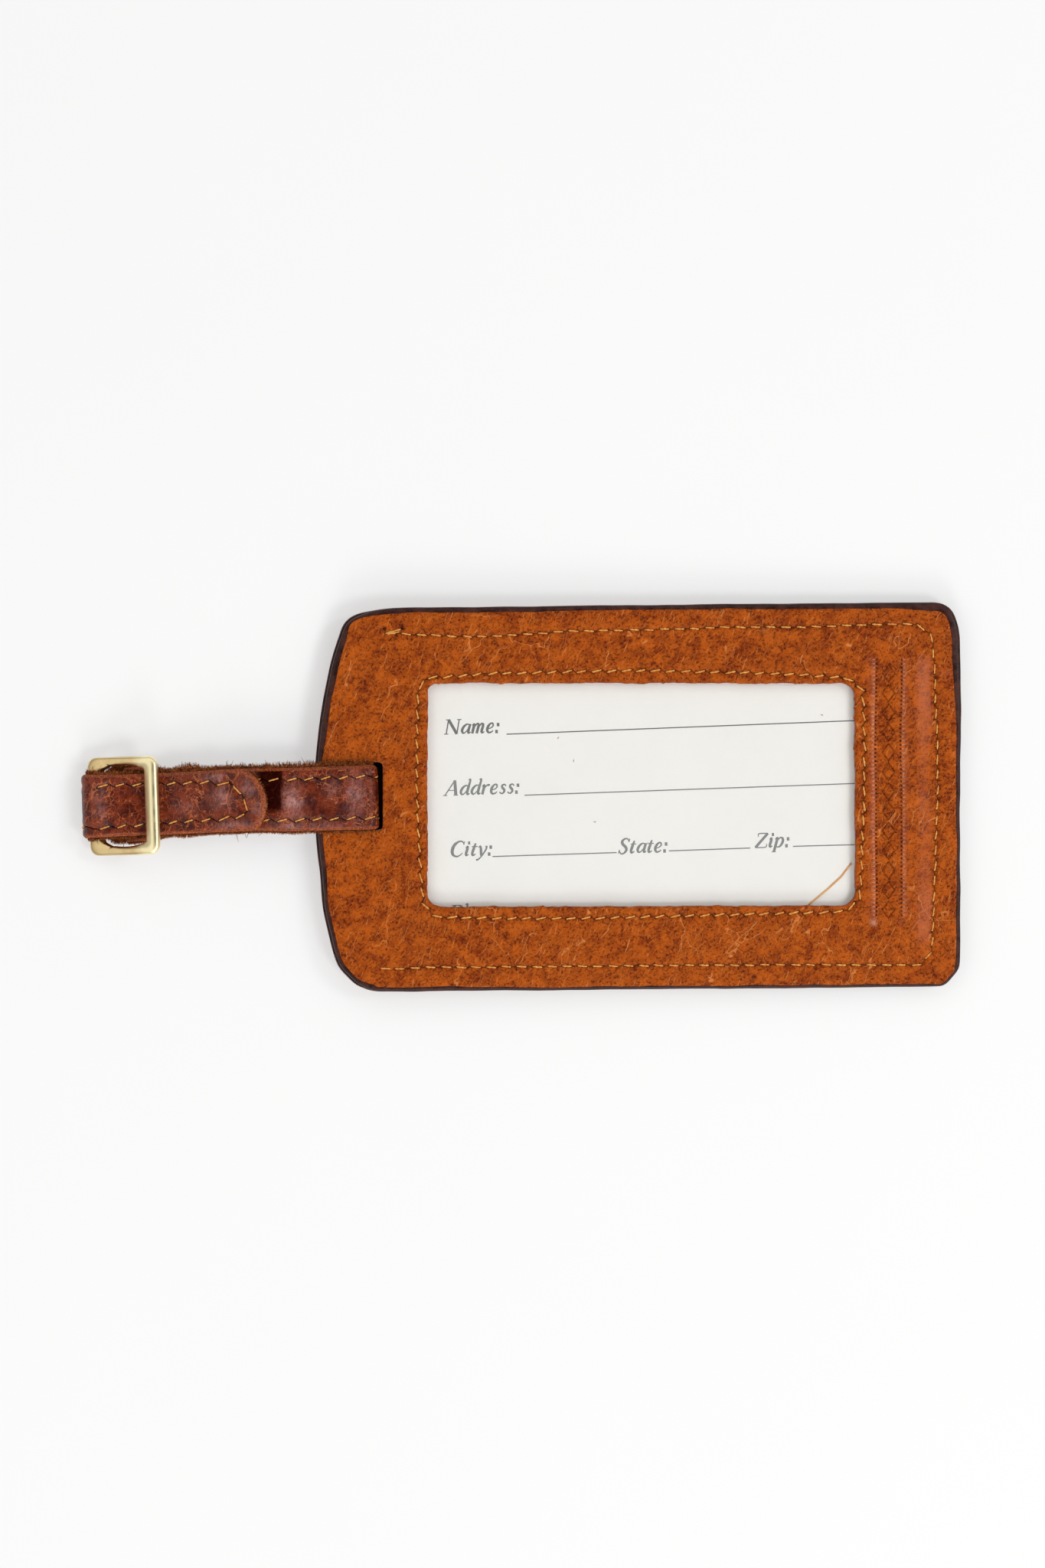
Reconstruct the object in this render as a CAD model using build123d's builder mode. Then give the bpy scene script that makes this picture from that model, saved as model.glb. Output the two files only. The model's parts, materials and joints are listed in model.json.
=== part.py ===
from build123d import *
from math import atan, cos, pi, radians, sin, tan
import os

# Luggage tag: two stitched leather panels that form a card pocket with a clear window, and a two-ply
# strap that runs through a slot at one end and closes with a small cast buckle.
# Millimetres, +Z up. The tag lies on its closed side with the window up, and the strap points to -X.
# The origin is under the middle of the whole object, on the surface that it lies on.

os.makedirs("parts", exist_ok=True)

# ---- Tag body ----
TAG_LEFT = -36.2
LEFT_MIDDLE = (TAG_LEFT, 0.1)  # crown of the curved strap end
TAG_RIGHT = 78.1
TOP_LEFT = (-30.6, 33.3)
TOP_RIGHT = (TAG_RIGHT, 34.5)
BOTTOM_RIGHT = (TAG_RIGHT, -33.7)
BOTTOM_LEFT = (-30.2, -34.5)
CORNER_RADII = {TOP_LEFT: 5.0, TOP_RIGHT: 4.5, BOTTOM_RIGHT: 4.0, BOTTOM_LEFT: 7.5}

BASE_THICK = 1.5
POCKET_DEPTH = 0.8
WINDOW_PANEL_THICK = 1.4
TAG_THICK = BASE_THICK + POCKET_DEPTH + WINDOW_PANEL_THICK

COAT_WIDTH = 0.6  # painted edge, seen from above
COAT_INSET = 0.15  # the paint stops this far short of both faces
COAT_ROUND = 0.45

WINDOW_CENTRE = (21.4, 0.3)
WINDOW_SIZE = (75.5, 39.9)
WINDOW_CORNER = 2.0
SHEET_MARGIN = 4.2  # how far the clear sheet runs past the window, under the leather
SHEET_THICK = 0.28

CARD_SIZE = (88.9, 50.8)
CARD_CORNER = 1.5
CARD_CENTRE = (25.55, -0.3)
CARD_THICK = 0.35
CARD_TURN = 2.0  # the card lies a little askew in its pocket
CARD_LIFT = 0.05  # clearance below the card

POCKET_HALF_WIDTH = 27.6
POCKET_END = 72.0

# ---- Seams ----
THREAD = 0.5
STITCH_HEIGHT = 0.3
GROOVE_WIDTH = 1.5
GROOVE_DEPTH = 0.3
TAG_PITCH = 2.7
TAG_STITCH = 2.0
SEAM_SLANT = 9.0
SEAM_START = -25.0
SEAM_RIGHT = 73.8
SEAM_TOP = (29.2, 30.4)  # at the strap end and at the right
SEAM_BOTTOM = (-30.6, -29.7)
SEAM_CORNER = 3.0
RING_GAP = 1.75  # window edge to its stitching
RING_CORNER = 2.4

# ---- How the tag rests ----
REST_TILT = 1.0  # the strap lies under the slotted end and lifts it
REST_LINE = TAG_RIGHT - COAT_WIDTH  # the edge that touches the surface

# ---- Strap ----
STRAP_WIDTH = 11.4
PLY = 0.8  # each of the two plies
STRAP_THICK = 2 * PLY
LAY = 0.05  # gap between layers that lie on each other
STRAP_TURN = 1.87  # the strap points a little off the tag's axis
STRAP_OFFSET = 0.85
STRAP_FOLD = -77.9  # outside of the fold round the buckle
STRAP_TIP = -44.5
TIP_ARC = ((-49.2, 5.9), (-44.7, -1.2), (-47.4, -5.9))
SLOT_CENTRE = (-26.05, 0.3)
SLOT_SIZE = (3.4, 12.4)
SLOT_CORNER = 0.8
SLOT_RUN = -26.37  # where the strap drops through the slot
SLOT_BEND = 1.1
HUMP = (-43.0, 7.25)  # the strap's crest before it settles on the tag
RISE_START = -62.5
RISE_BEND = 14.0
CREST_BEND = 9.0
SETTLE = -36.0
SETTLE_BEND = 10.0
FLEX_HALF = 4.5  # the strap bends over this much on each side of the tag's end
FAR = 100.0  # past every edge of the strap and the tag

# ---- Buckle ----
BAR_RADIUS = 0.8
BAR_CLEARANCE = 0.05
FOLD_PLY = 0.6  # the strap's end is skived where it wraps the heel bar
FOLD_TAIL = -62.0
FOLD_REACH = 4.3  # from the top of the wrap to the start of the full plies
WRAP_SLOPE = 10.0
WRAP_GAP = 0.08
BUCKLE_LIFT = 22.0  # the front bar lies on top of the strap
BUCKLE_WIDTH = 17.5
BUCKLE_HEEL = -2.05  # from the heel bar's centre, along the frame
BUCKLE_FRONT = 11.8
FRONT_BAR = 2.7
RAIL = 1.5
BUCKLE_THICK = 1.9
BUCKLE_CORNER = 1.5
BUCKLE_INNER_CORNER = 1.7
BUCKLE_ROUND = 0.7
WEB_GAP = 5.95  # the heel corners are filled in to here, just clear of the strap

STRAP_PITCH = 3.1
STRAP_STITCH = 1.95
STRAP_STITCH_HEIGHT = 0.2
STRAP_SLANT = 16.0
STITCH_ROW = 3.8  # from the strap's middle
STITCH_LIFT = 0.05  # clearance under a straight stitch on a curved stretch

# ---- Planes ----
tilt = radians(REST_TILT)
tag_plane = Plane(
    origin=(0, 0, REST_LINE * tan(tilt)),
    x_dir=(cos(tilt), 0, -sin(tilt)),
    z_dir=(sin(tilt), 0, cos(tilt)),
)
turn = radians(STRAP_TURN)
along_strap = Vector(cos(turn), sin(turn), 0)
across_strap = Vector(-sin(turn), cos(turn), 0)
up = Vector(0, 0, 1)
strap_plane = Plane(origin=(0, STRAP_OFFSET, 0), x_dir=along_strap, z_dir=-across_strap)
strap_plan = Plane(origin=(0, STRAP_OFFSET, 0), x_dir=along_strap, z_dir=up)


def over_tag(x):
    """Height of the tag's upper face at x."""
    return (REST_LINE - x) * tan(tilt) + TAG_THICK


# ---- The strap's route, in its side view: x along the strap, y up ----
# It is the line between the two plies: grain leather outside the loop, suede lining inside.
wrap_inner = BAR_RADIUS + BAR_CLEARANCE + FOLD_PLY + WRAP_GAP
fold_radius = wrap_inner + PLY
bar_x = STRAP_FOLD + wrap_inner + STRAP_THICK
bar_z = PLY + fold_radius
chape_z = STRAP_THICK + LAY + FOLD_PLY + LAY + PLY
billet_z = chape_z + STRAP_THICK + LAY
slope = radians(WRAP_SLOPE)
fold_line = BAR_RADIUS + BAR_CLEARANCE + FOLD_PLY / 2
chape_start = bar_x + fold_line * sin(slope) + FOLD_REACH
wrap_end = (bar_x + fold_radius * sin(slope), bar_z + fold_radius * cos(slope))
billet_flat = wrap_end[0] + (wrap_end[1] - billet_z) / tan(slope)
rise = (HUMP[1] - chape_z) / (HUMP[0] - RISE_START)
billet_rise_start = RISE_START - (billet_z - chape_z) * tan(atan(rise) / 2)
billet_tip_z = billet_z + (STRAP_TIP - billet_rise_start) * rise

with BuildLine() as strap_route:
    FilletPolyline(
        (chape_start, chape_z),
        (RISE_START, chape_z),
        HUMP,
        (SETTLE, over_tag(SETTLE) + LAY + PLY),
        (SLOT_RUN, over_tag(SLOT_RUN) + LAY + PLY),
        (SLOT_RUN, PLY),
        (bar_x, PLY),
        radius=[RISE_BEND, CREST_BEND, SETTLE_BEND, SLOT_BEND, SLOT_BEND],
    )
    CenterArc((bar_x, bar_z), fold_radius, 270, -180 - WRAP_SLOPE)
    FilletPolyline(
        wrap_end,
        (billet_flat, billet_z),
        (billet_rise_start, billet_z),
        (STRAP_TIP, billet_tip_z),
        radius=[4.0, RISE_BEND + STRAP_THICK],
    )


# ---- Tag body ----
with BuildSketch() as tag_outline:
    with BuildLine():
        ThreePointArc(BOTTOM_LEFT, LEFT_MIDDLE, TOP_LEFT)
        Polyline(TOP_LEFT, TOP_RIGHT, BOTTOM_RIGHT, BOTTOM_LEFT)
    make_face()
    for corner, radius in CORNER_RADII.items():
        fillet(tag_outline.vertices().sort_by_distance(corner)[0], radius)

panel_outline = offset(tag_outline.sketch, amount=-COAT_WIDTH, mode=Mode.PRIVATE)

with BuildSketch() as strap_slot:
    with Locations(SLOT_CENTRE):
        RectangleRounded(*SLOT_SIZE, SLOT_CORNER)

with BuildLine() as perimeter_seam:
    FilletPolyline(
        (SEAM_START, SEAM_BOTTOM[0]),
        (SEAM_RIGHT, SEAM_BOTTOM[1]),
        (SEAM_RIGHT, SEAM_TOP[1]),
        (SEAM_START, SEAM_TOP[0]),
        radius=SEAM_CORNER,
    )

ring_size = (WINDOW_SIZE[0] + 2 * RING_GAP, WINDOW_SIZE[1] + 2 * RING_GAP)
with BuildSketch() as window_ring:
    with Locations(WINDOW_CENTRE):
        Rectangle(*ring_size)
    chamfer(window_ring.vertices(), RING_CORNER)
ring_seam = window_ring.sketch.face().outer_wire()


def tag_stitches(seam, height):
    """Where each slanted stitch of a seam on the tag lies, in the tag's own frame."""
    count = int(seam.length / TAG_PITCH)
    places = []
    for i in range(count):
        at = (i + 0.5) * seam.length / count
        point = seam.position_at(at, PositionMode.LENGTH)
        run = seam.tangent_at(at, PositionMode.LENGTH).rotate(Axis.Z, SEAM_SLANT)
        local = Plane(point + (0, 0, height), x_dir=run, z_dir=(0, 0, 1))
        places.append(tag_plane.location * local.location)
    return places


with BuildPart() as base_panel:
    with BuildSketch(tag_plane):
        add(panel_outline)
        add(strap_slot.sketch, mode=Mode.SUBTRACT)
    extrude(amount=BASE_THICK)
    with BuildSketch(tag_plane):
        trace(perimeter_seam.line, GROOVE_WIDTH)
    extrude(amount=GROOVE_DEPTH, mode=Mode.SUBTRACT)
base_panel.part.label = "base_panel"

with BuildPart() as pocket_filler:
    with BuildSketch(tag_plane.offset(BASE_THICK)):
        add(panel_outline)
        with Locations((POCKET_END, 0)):
            Rectangle(
                2 * FAR,
                2 * POCKET_HALF_WIDTH,
                align=(Align.MAX, Align.CENTER),
                mode=Mode.SUBTRACT,
            )
    extrude(amount=POCKET_DEPTH)
pocket_filler.part.label = "pocket_filler"

with BuildPart() as id_card:
    with BuildSketch(tag_plane.offset(BASE_THICK + CARD_LIFT)):
        with Locations(Location(CARD_CENTRE, CARD_TURN)):
            RectangleRounded(*CARD_SIZE, CARD_CORNER)
    extrude(amount=CARD_THICK)
id_card.part.label = "id_card"

with BuildPart() as window_sheet:
    with BuildSketch(tag_plane.offset(BASE_THICK + POCKET_DEPTH - SHEET_THICK)):
        with Locations(WINDOW_CENTRE):
            Rectangle(WINDOW_SIZE[0] + 2 * SHEET_MARGIN, WINDOW_SIZE[1] + 2 * SHEET_MARGIN)
    extrude(amount=SHEET_THICK)
window_sheet.part.label = "window_sheet"

with BuildPart() as window_panel:
    with BuildSketch(tag_plane.offset(BASE_THICK + POCKET_DEPTH)):
        add(panel_outline)
        add(strap_slot.sketch, mode=Mode.SUBTRACT)
        with Locations(WINDOW_CENTRE):
            RectangleRounded(*WINDOW_SIZE, WINDOW_CORNER, mode=Mode.SUBTRACT)
    extrude(amount=WINDOW_PANEL_THICK)
    with BuildSketch(tag_plane.offset(TAG_THICK - GROOVE_DEPTH)):
        offset(window_ring.sketch, amount=GROOVE_WIDTH / 2)
        offset(window_ring.sketch, amount=-GROOVE_WIDTH / 2, mode=Mode.SUBTRACT)
    extrude(amount=GROOVE_DEPTH, mode=Mode.SUBTRACT)
    with BuildSketch(tag_plane.offset(TAG_THICK - GROOVE_DEPTH)):
        trace(perimeter_seam.line, GROOVE_WIDTH)
    extrude(amount=GROOVE_DEPTH, mode=Mode.SUBTRACT)
window_panel.part.label = "window_panel"

with BuildPart() as edge_coat:
    with BuildSketch(tag_plane.offset(COAT_INSET)):
        add(tag_outline.sketch)
    extrude(amount=TAG_THICK - 2 * COAT_INSET)
    rims = edge_coat.faces().filter_by(tag_plane)
    fillet(rims.edges(), COAT_ROUND)
    with BuildSketch(tag_plane):
        add(panel_outline)
    extrude(amount=TAG_THICK, mode=Mode.SUBTRACT)
    with BuildSketch(tag_plane.offset(BASE_THICK)):
        with Locations((TAG_LEFT, 0)):
            Rectangle(-TAG_LEFT, 2 * POCKET_HALF_WIDTH)
    extrude(amount=POCKET_DEPTH, mode=Mode.SUBTRACT)
edge_coat.part.label = "edge_coat"

seam_wire = perimeter_seam.wires()[0]
upper_stitch = TAG_THICK - GROOVE_DEPTH + STITCH_HEIGHT / 2

with BuildPart() as perimeter_stitching:
    with Locations(tag_stitches(seam_wire, upper_stitch) + tag_stitches(seam_wire, STITCH_HEIGHT / 2)):
        Box(TAG_STITCH, THREAD, STITCH_HEIGHT)
perimeter_stitching.part.label = "perimeter_stitching"

with BuildPart() as window_stitching:
    with Locations(tag_stitches(ring_seam, upper_stitch)):
        Box(TAG_STITCH, THREAD, STITCH_HEIGHT)
window_stitching.part.label = "window_stitching"

# ---- Strap: both plies as one long band each, then cut where the strap bends ----
route_wire = strap_route.wires()[0]

with BuildPart() as whole_grain:
    with BuildSketch(strap_plane):
        make_face(route_wire.offset_2d(PLY, side=Side.RIGHT))
    extrude(amount=STRAP_WIDTH / 2, both=True)

with BuildPart() as whole_lining:
    with BuildSketch(strap_plane):
        make_face(route_wire.offset_2d(PLY, side=Side.LEFT))
    extrude(amount=STRAP_WIDTH / 2, both=True)

flex_start = TAG_LEFT - FLEX_HALF
flex_end = TAG_LEFT + FLEX_HALF

def strap_stretch(ply, low, high):
    """The part of a ply between two stations along the strap, as separate solids, smallest first."""
    with BuildPart() as stretch:
        add(ply)
        with BuildSketch(strap_plane):
            with Locations(((low + high) / 2, 0)):
                Rectangle(high - low, FAR)
        extrude(amount=FAR, both=True, mode=Mode.INTERSECT)
    return stretch.part.solids().sort_by(SortBy.VOLUME)


plies = {"grain": whole_grain.part, "lining": whole_lining.part}
strap_parts = []
for ply_name, ply in plies.items():
    with BuildPart() as root:
        add(strap_stretch(ply, flex_end, 0))
    root.part.label = "strap_root_" + ply_name

    with BuildPart() as flex:
        add(strap_stretch(ply, flex_start, flex_end))
    flex.part.label = "strap_flex_" + ply_name

    outer = strap_stretch(ply, -FAR, flex_start)
    with BuildPart() as chape:
        add(outer[0])
    chape.part.label = "chape_" + ply_name

    with BuildPart() as billet:
        add(outer[1])
        with BuildSketch(strap_plan.offset(billet_z)):
            with BuildLine():
                ThreePointArc(*TIP_ARC)
                Polyline(
                    TIP_ARC[2],
                    (TIP_ARC[2][0], -STRAP_WIDTH),
                    (flex_end, -STRAP_WIDTH),
                    (flex_end, STRAP_WIDTH),
                    (TIP_ARC[0][0], STRAP_WIDTH),
                    TIP_ARC[0],
                )
            make_face()
        extrude(amount=FAR, mode=Mode.SUBTRACT)
    billet.part.label = "billet_" + ply_name
    strap_parts += [root, flex, chape, billet]

# The chape's grain ply goes on, skived, round the heel bar and back under itself.
fold_end = (bar_x + fold_line * sin(slope), bar_z + fold_line * cos(slope))
fold_joint = chape_start - LAY
with BuildPart() as chape_fold:
    with BuildSketch(strap_plane):
        with BuildLine():
            Line((FOLD_TAIL, bar_z - fold_line), (bar_x, bar_z - fold_line))
            CenterArc((bar_x, bar_z), fold_line, 270, -180 - WRAP_SLOPE)
            Line(fold_end, (fold_joint, fold_end[1] - (fold_joint - fold_end[0]) * tan(slope)))
        trace(line_width=FOLD_PLY)
    extrude(amount=STRAP_WIDTH / 2, both=True)
chape_fold.part.label = "chape_fold"


grain_side = strap_plane.location * route_wire.offset_2d(PLY, side=Side.RIGHT, closed=False)


def strap_stitches(low, high, first, last):
    """Both rows of stitches between two stations along the strap, from one stitch's number to another's."""
    places = []
    for i in range(first, last):
        at = (i + 0.5) * STRAP_PITCH
        point = grain_side.position_at(at, PositionMode.LENGTH)
        run = grain_side.tangent_at(at, PositionMode.LENGTH)
        outward = across_strap.cross(run)
        if not low < strap_plane.to_local_coords(point).X < high:
            continue
        for row in (-STITCH_ROW, STITCH_ROW):
            middle = point + across_strap * row + outward * (STRAP_STITCH_HEIGHT / 2 + STITCH_LIFT)
            slanted = (-run).rotate(Axis((0, 0, 0), outward), STRAP_SLANT)
            places.append(Plane(middle, x_dir=slanted, z_dir=outward).location)
    return places


# The numbers run from the billet's tip, round the buckle and the slot, to the chape's start.
last_stitch = int(grain_side.length / STRAP_PITCH)
billet_wrap = (STRAP_TIP - bar_x + pi * fold_radius) / STRAP_PITCH
slot_turn = last_stitch - int((SLOT_RUN - chape_start) / STRAP_PITCH) - 1
stitch_groups = {
    "billet_stitching": strap_stitches(-FAR, STRAP_TIP - STRAP_STITCH, 0, int(billet_wrap)),
    "chape_stitching": strap_stitches(STRAP_TIP, flex_start, slot_turn, last_stitch),
    "strap_flex_stitching": strap_stitches(flex_start, flex_end, slot_turn, last_stitch),
    "strap_root_stitching": strap_stitches(flex_end, SLOT_RUN - SLOT_BEND, slot_turn, last_stitch),
}
for name, places in stitch_groups.items():
    with BuildPart() as stitch_group:
        with Locations(places):
            Box(STRAP_STITCH, THREAD, STRAP_STITCH_HEIGHT)
    stitch_group.part.label = name
    strap_parts.append(stitch_group)

# ---- Buckle ----
buckle_turn = radians(BUCKLE_LIFT)
frame_run = along_strap * cos(buckle_turn) + up * sin(buckle_turn)
frame_up = up * cos(buckle_turn) - along_strap * sin(buckle_turn)
bar_centre = strap_plane.from_local_coords((bar_x, bar_z, 0))
buckle_plane = Plane(origin=bar_centre, x_dir=frame_run, z_dir=frame_up)
opening_end = BUCKLE_FRONT - FRONT_BAR
inner_half = BUCKLE_WIDTH / 2 - RAIL

with BuildPart() as buckle_frame:
    with BuildSketch(buckle_plane.offset(-BUCKLE_THICK / 2)):
        with Locations(((BUCKLE_HEEL + BUCKLE_FRONT) / 2, 0)):
            RectangleRounded(BUCKLE_FRONT - BUCKLE_HEEL, BUCKLE_WIDTH, BUCKLE_CORNER)
    extrude(amount=BUCKLE_THICK)
    flats = buckle_frame.faces().filter_by(buckle_plane)
    fillet(flats.edges(), BUCKLE_ROUND)
    with BuildSketch(buckle_plane.offset(-BUCKLE_THICK / 2)):
        with Locations((opening_end, 0)):
            RectangleRounded(
                opening_end + BAR_RADIUS,
                2 * inner_half,
                BUCKLE_INNER_CORNER,
                align=(Align.MAX, Align.CENTER),
            )
        with Locations((BAR_RADIUS, 0)):
            Rectangle(FAR, 2 * WEB_GAP, align=(Align.MAX, Align.CENTER))
    extrude(amount=BUCKLE_THICK, mode=Mode.SUBTRACT)
    with BuildSketch(Plane(origin=bar_centre, x_dir=frame_run, z_dir=across_strap)):
        Circle(BAR_RADIUS)
    extrude(amount=inner_half + RAIL / 2, both=True)
buckle_frame.part.label = "buckle_frame"

body_parts = [
    base_panel,
    pocket_filler,
    id_card,
    window_sheet,
    window_panel,
    edge_coat,
    perimeter_stitching,
    window_stitching,
]
for piece in body_parts + strap_parts + [chape_fold, buckle_frame]:
    export_step(piece.part, "parts/" + piece.part.label + ".step")
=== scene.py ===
import json
import math
import random
import bpy
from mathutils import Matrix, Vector, noise
from mathutils.geometry import delaunay_2d_cdt


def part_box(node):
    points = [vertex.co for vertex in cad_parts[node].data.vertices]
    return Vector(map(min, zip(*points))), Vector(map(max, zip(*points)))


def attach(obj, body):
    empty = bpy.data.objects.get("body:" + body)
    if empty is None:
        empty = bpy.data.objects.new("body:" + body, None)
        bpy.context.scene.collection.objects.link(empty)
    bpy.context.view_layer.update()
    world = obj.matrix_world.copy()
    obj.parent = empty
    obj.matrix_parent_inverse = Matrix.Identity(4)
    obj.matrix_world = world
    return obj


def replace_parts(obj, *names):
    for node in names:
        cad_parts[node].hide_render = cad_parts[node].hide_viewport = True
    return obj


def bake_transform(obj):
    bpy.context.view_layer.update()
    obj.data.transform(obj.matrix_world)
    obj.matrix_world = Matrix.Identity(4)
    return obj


# A leather luggage tag that lies window side up. Lengths in this script are millimetres in two frames of
# the object's own: the tag's (x along it, y across it, height above its underside) and the strap's
# (along it, across it, up). tag_point and strap_point turn them into metres in the model's frame.

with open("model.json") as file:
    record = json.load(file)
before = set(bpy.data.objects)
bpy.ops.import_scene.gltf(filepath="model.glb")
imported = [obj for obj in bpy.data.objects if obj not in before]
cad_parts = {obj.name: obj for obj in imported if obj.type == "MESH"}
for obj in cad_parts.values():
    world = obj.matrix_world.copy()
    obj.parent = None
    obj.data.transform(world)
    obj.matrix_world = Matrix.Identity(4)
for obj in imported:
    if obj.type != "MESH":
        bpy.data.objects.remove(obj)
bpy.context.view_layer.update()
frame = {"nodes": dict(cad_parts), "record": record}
rng = random.Random(11)
scene = bpy.context.scene
MM = 0.001

# ---- Sizes that the frame's solids have ----
BASE_THICK = 1.5
POCKET_TOP = 2.3
TAG_THICK = 3.7
TAG_LEFT = -36.2
TAG_RIGHT = 78.1
TAG_LOW = -34.5
TAG_HIGH = 34.5
PLY = 0.8
LAY = 0.05
FOLD_RADIUS = 2.33
POCKET_HALF = 27.6
REST_LINE = 77.5
SLOT_RUN = -25.85

# ---- The two frames, from the record's joints ----
JOINTS = {j["name"]: j for j in frame["record"]["behaviour"]["joints"]}
TAG_X = -Vector(JOINTS["card_slide"]["axis"])
TAG_Y = Vector((0, 1, 0))
TAG_N = TAG_X.cross(TAG_Y)
base_low, base_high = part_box("base_panel")
rest_x = base_high.x - BASE_THICK * MM * TAG_N.x
TAG_O = Vector((rest_x, 0, base_low.z)) - TAG_X * (rest_x / TAG_X.x)
ACROSS = Vector(JOINTS["strap_swing"]["axis"])
UP = Vector((0, 0, 1))
ALONG = ACROSS.cross(UP)
swing_at = Vector(JOINTS["strap_swing"]["pos_m"])
STRAP_O = swing_at - ALONG * (swing_at.x / ALONG.x)
STRAP_O.z = 0
bar_at = Vector(JOINTS["buckle_lift"]["pos_m"]) - STRAP_O
BAR_X = bar_at.dot(ALONG) / MM
BAR_Z = bar_at.z / MM
TILT = math.atan2(TAG_N.x, TAG_N.z)


def tag_point(x, y, h):
    return TAG_O + (TAG_X * x + TAG_Y * y + TAG_N * h) * MM


def strap_point(s, v, z):
    return STRAP_O + (ALONG * s + ACROSS * v + UP * z) * MM


def wave(x, y, size, seed=0.0):
    """Smooth noise, about -1 to 1, with bumps of a size in mm."""
    return noise.noise(Vector((x / size, y / size, seed)))


def smooth(t):
    t = min(1.0, max(0.0, t))
    return t * t * (3 - 2 * t)


def bump(x, centre, reach):
    """1 at the centre, falling off to nothing on both sides."""
    return math.exp(-(((x - centre) / reach) ** 2))


def between(stops, t):
    """The value at t on a line of (t, value) stops, eased from each to the next."""
    if t <= stops[0][0]:
        return stops[0][1]
    for (t0, a), (t1, b) in zip(stops, stops[1:]):
        if t <= t1:
            return a + (b - a) * smooth((t - t0) / (t1 - t0))
    return stops[-1][1]


def grid(x0, x1, dx, y0, y1, dy):
    """Places in rows, row by row."""
    y = y0
    while y < y1:
        x = x0
        while x < x1:
            yield x, y
            x += dx
        y += dy


# ---- Curves in a plane ----
def turned(p, a):
    return Vector((p.x * math.cos(a) - p.y * math.sin(a), p.x * math.sin(a) + p.y * math.cos(a)))


def left_of(t):
    return Vector((-t.y, t.x))


def arc_points(radius, first, last, count):
    """Points on an arc about the origin, from one angle in degrees to the other."""
    angles = [math.radians(first + (last - first) * i / count) for i in range(count + 1)]
    return [Vector((radius * math.cos(a), radius * math.sin(a))) for a in angles]


def rounded(points, radii, closed=True, step=0.3):
    """A polyline with its corners rounded, as dense points. Open ends keep their own points."""
    n = len(points)
    out = []
    for i in range(n):
        p = Vector(points[i])
        r = radii[i] if isinstance(radii, (list, tuple)) else radii
        if (not closed and i in (0, n - 1)) or r <= 0:
            out.append(p)
            continue
        a = (Vector(points[i - 1]) - p).normalized()
        b = (Vector(points[(i + 1) % n]) - p).normalized()
        half = a.angle(b) / 2
        centre = p + (a + b).normalized() * (r / math.sin(half))
        start = p + a * (r / math.tan(half)) - centre
        turn = math.pi - 2 * half
        if a.x * b.y - a.y * b.x > 0:
            turn = -turn
        count = max(2, int(abs(turn) * r / step) + 1)
        out += [centre + turned(start, turn * k / count) for k in range(count + 1)]
    return out


def lengths(path):
    run = [0.0]
    for p, q in zip(path, path[1:]):
        run.append(run[-1] + (q - p).length)
    return run


class Route:
    """A dense polyline that can be read at any length along it."""

    def __init__(self, path, closed=False):
        self.path = path + path[:1] if closed else path
        self.run = lengths(self.path)
        self.length = self.run[-1]
        self.closed = closed

    def at(self, d):
        if self.closed:
            d %= self.length
        d = min(self.length, max(0.0, d))
        lo, hi = 0, len(self.run) - 1
        while hi - lo > 1:
            mid = (lo + hi) // 2
            if self.run[mid] <= d:
                lo = mid
            else:
                hi = mid
        t = (d - self.run[lo]) / max(1e-9, self.run[hi] - self.run[lo])
        return self.path[lo].lerp(self.path[hi], t)

    def heading(self, d, reach=0.15):
        return (self.at(d + reach) - self.at(d - reach)).normalized()

    def even(self, step):
        count = max(2, round(self.length / step))
        return [self.at(self.length * i / count) for i in range(count if self.closed else count + 1)]


def headings(loop):
    """Each point of a closed loop, with the direction the loop runs there."""
    n = len(loop)
    return [(p, (loop[(i + 1) % n] - loop[i - 1]).normalized()) for i, p in enumerate(loop)]


def shifted(loop, amount):
    """A closed loop moved to its left by a number of mm, or by a function of the point."""
    move = amount if callable(amount) else lambda p: amount
    return [p + left_of(t) * move(p) for p, t in headings(loop)]


def inside(x, y, loop):
    hit = False
    j = len(loop) - 1
    for i, p in enumerate(loop):
        q = loop[j]
        if (p.y > y) != (q.y > y) and x < (q.x - p.x) * (y - p.y) / (q.y - p.y) + p.x:
            hit = not hit
        j = i
    return hit


# ---- Meshes ----
def piece(name, verts, faces, material, marks=None, sharp=40):
    mesh = bpy.data.meshes.new(name)
    mesh.from_pydata(verts, [], faces)
    mesh.update()
    for key, values in (marks or {}).items():
        add_mark(mesh, key, values)
    mesh.polygons.foreach_set("use_smooth", [True] * len(mesh.polygons))
    if sharp:
        mesh.set_sharp_from_angle(angle=math.radians(sharp))
    mesh.materials.append(material)
    obj = bpy.data.objects.new(name, mesh)
    scene.collection.objects.link(obj)
    return obj


def add_mark(mesh, key, values):
    """A paint mark, one value for each vertex, that a material reads by its name."""
    mesh.attributes.new(key, "FLOAT", "POINT").data.foreach_set("value", values)


def rings_joined(n, m):
    """Faces between n rings of m points each, closed both ways."""
    for i in range(n):
        for k in range(m):
            a, b = i * m, ((i + 1) % n) * m
            yield a + k, a + (k + 1) % m, b + (k + 1) % m, b + k


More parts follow.
